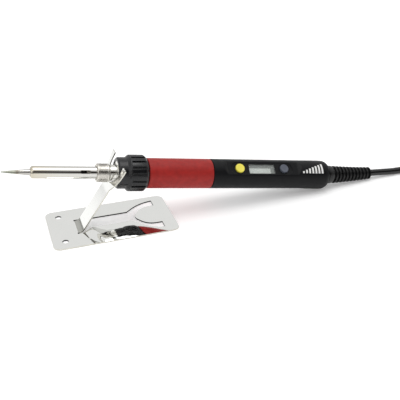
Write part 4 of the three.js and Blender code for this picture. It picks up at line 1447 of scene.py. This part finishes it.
strainRelief = dress(makeRelief(relief), "reliefRubber", "iron", "cord_black", "strain_relief")
print("strain relief made:", len(strainRelief.data.polygons), "faces")


innerFinishes = {
    "heaterCeramic": ("heater_rod", "heater_insulator"),
    "displayGrey": ("lcd_module",),
    "partBlack": ("switch_power", "switch_set", "microcontroller", "triac", "cord_clamp"),
    "boardGreen": ("circuit_board",),
    "capacitorFilm": ("mains_capacitor",),
    "leadWhite": ("heater_lead_1", "heater_lead_2"),
    "wireBlue": ("sensor_lead_1", "sensor_lead_2", "neutral_core"),
    "wireGreen": ("earth_lead", "earth_core"),
    "wireBrown": ("live_core",),
    "cordRubber": ("cord_sheath",),
    "screwZinc": ("clamp_screw_left", "clamp_screw_right"),
}
for finishName, names in innerFinishes.items():
    for holder in [slot for name in names for slot in nodes[name].material_slots]:
        holder.material = finishes[finishName]
print("inner parts finished:", sum(len(names) for names in innerFinishes.values()))


studio = {
    "floor": (245, 245, 245),
    "floorGlow": 0.26,  # the floor gives off a little light of its own, so shadows stay pale
    "sky": (0.34, 0.78, 0.88, 0.9, 0.92),  # grey of the sky, from the horizon up
    "gapTone": (0.03, 0.024, 0.02),
    "gapHeight": ((0.22, 0.26), (0.72, 0.68)),  # where the dark gap fades in and out
    "gapFront": (-0.35, -0.45),
    "key": {"place": (0.1, 0.02, 1.2), "size": 0.7, "power": 4.0},
    "fill": {"place": (-0.7, -0.5, 0.7), "size": 1.0, "power": 1.5},
}


def makeFloor(colour):
    mesh = bpy.data.meshes.new("floor")
    mesh.from_pydata([(-6, -6, 0), (6, -6, 0), (6, 6, 0), (-6, 6, 0)], [], [(0, 1, 2, 3)])
    piece = link("floor", mesh)
    material = bpy.data.materials.new("floorPale")
    material.use_nodes = True
    shader = material.node_tree.nodes["Principled BSDF"]
    shader.inputs["Base Color"].default_value = linear(*colour)
    shader.inputs["Roughness"].default_value = 0.9
    shader.inputs["Specular IOR Level"].default_value = 0.1
    shader.inputs["Emission Color"].default_value = (1, 1, 1, 1)
    shader.inputs["Emission Strength"].default_value = studio["floorGlow"]
    mesh.materials.append(material)
    return piece


def makeSky(s):
    world = bpy.data.worlds.new("studio")
    scene.world = world
    world.use_nodes = True
    tree = world.node_tree
    background = tree.nodes["Background"]
    axes = splitAxes(tree, tree.nodes.new("ShaderNodeTexCoord").outputs["Generated"])
    sky = ramp(tree, axes["Z"], [(0.25 * k, (tone, tone, tone, 1)) for k, tone in enumerate(s["sky"])])
    # the dark gap of the room between the front of the table and the lamps
    low, high = (mapped(tree, axes["Z"], *edge) for edge in s["gapHeight"])
    height = combined(tree, "MULTIPLY", low, high)
    gap = combined(tree, "MULTIPLY", height, mapped(tree, axes["Y"], *s["gapFront"]))
    tree.links.new(mixed(tree, gap, sky, (*s["gapTone"], 1)), background.inputs["Color"])
    background.inputs["Strength"].default_value = 1.0


def makeLamp(name, lamp, target=(0, 0, 0.02)):
    data = bpy.data.lights.new(name, "AREA")
    data.energy = lamp["power"]
    data.size = lamp["size"]
    piece = link(name, data)
    piece.location = lamp["place"]
    piece.rotation_euler = (Vector(lamp["place"]) - Vector(target)).to_track_quat("Z", "Y").to_euler()
    return piece


makeFloor(studio["floor"])
makeSky(studio)
makeLamp("keyLamp", studio["key"])
makeLamp("fillLamp", studio["fill"])
scene.view_settings.view_transform = "Standard"
print("studio ready")
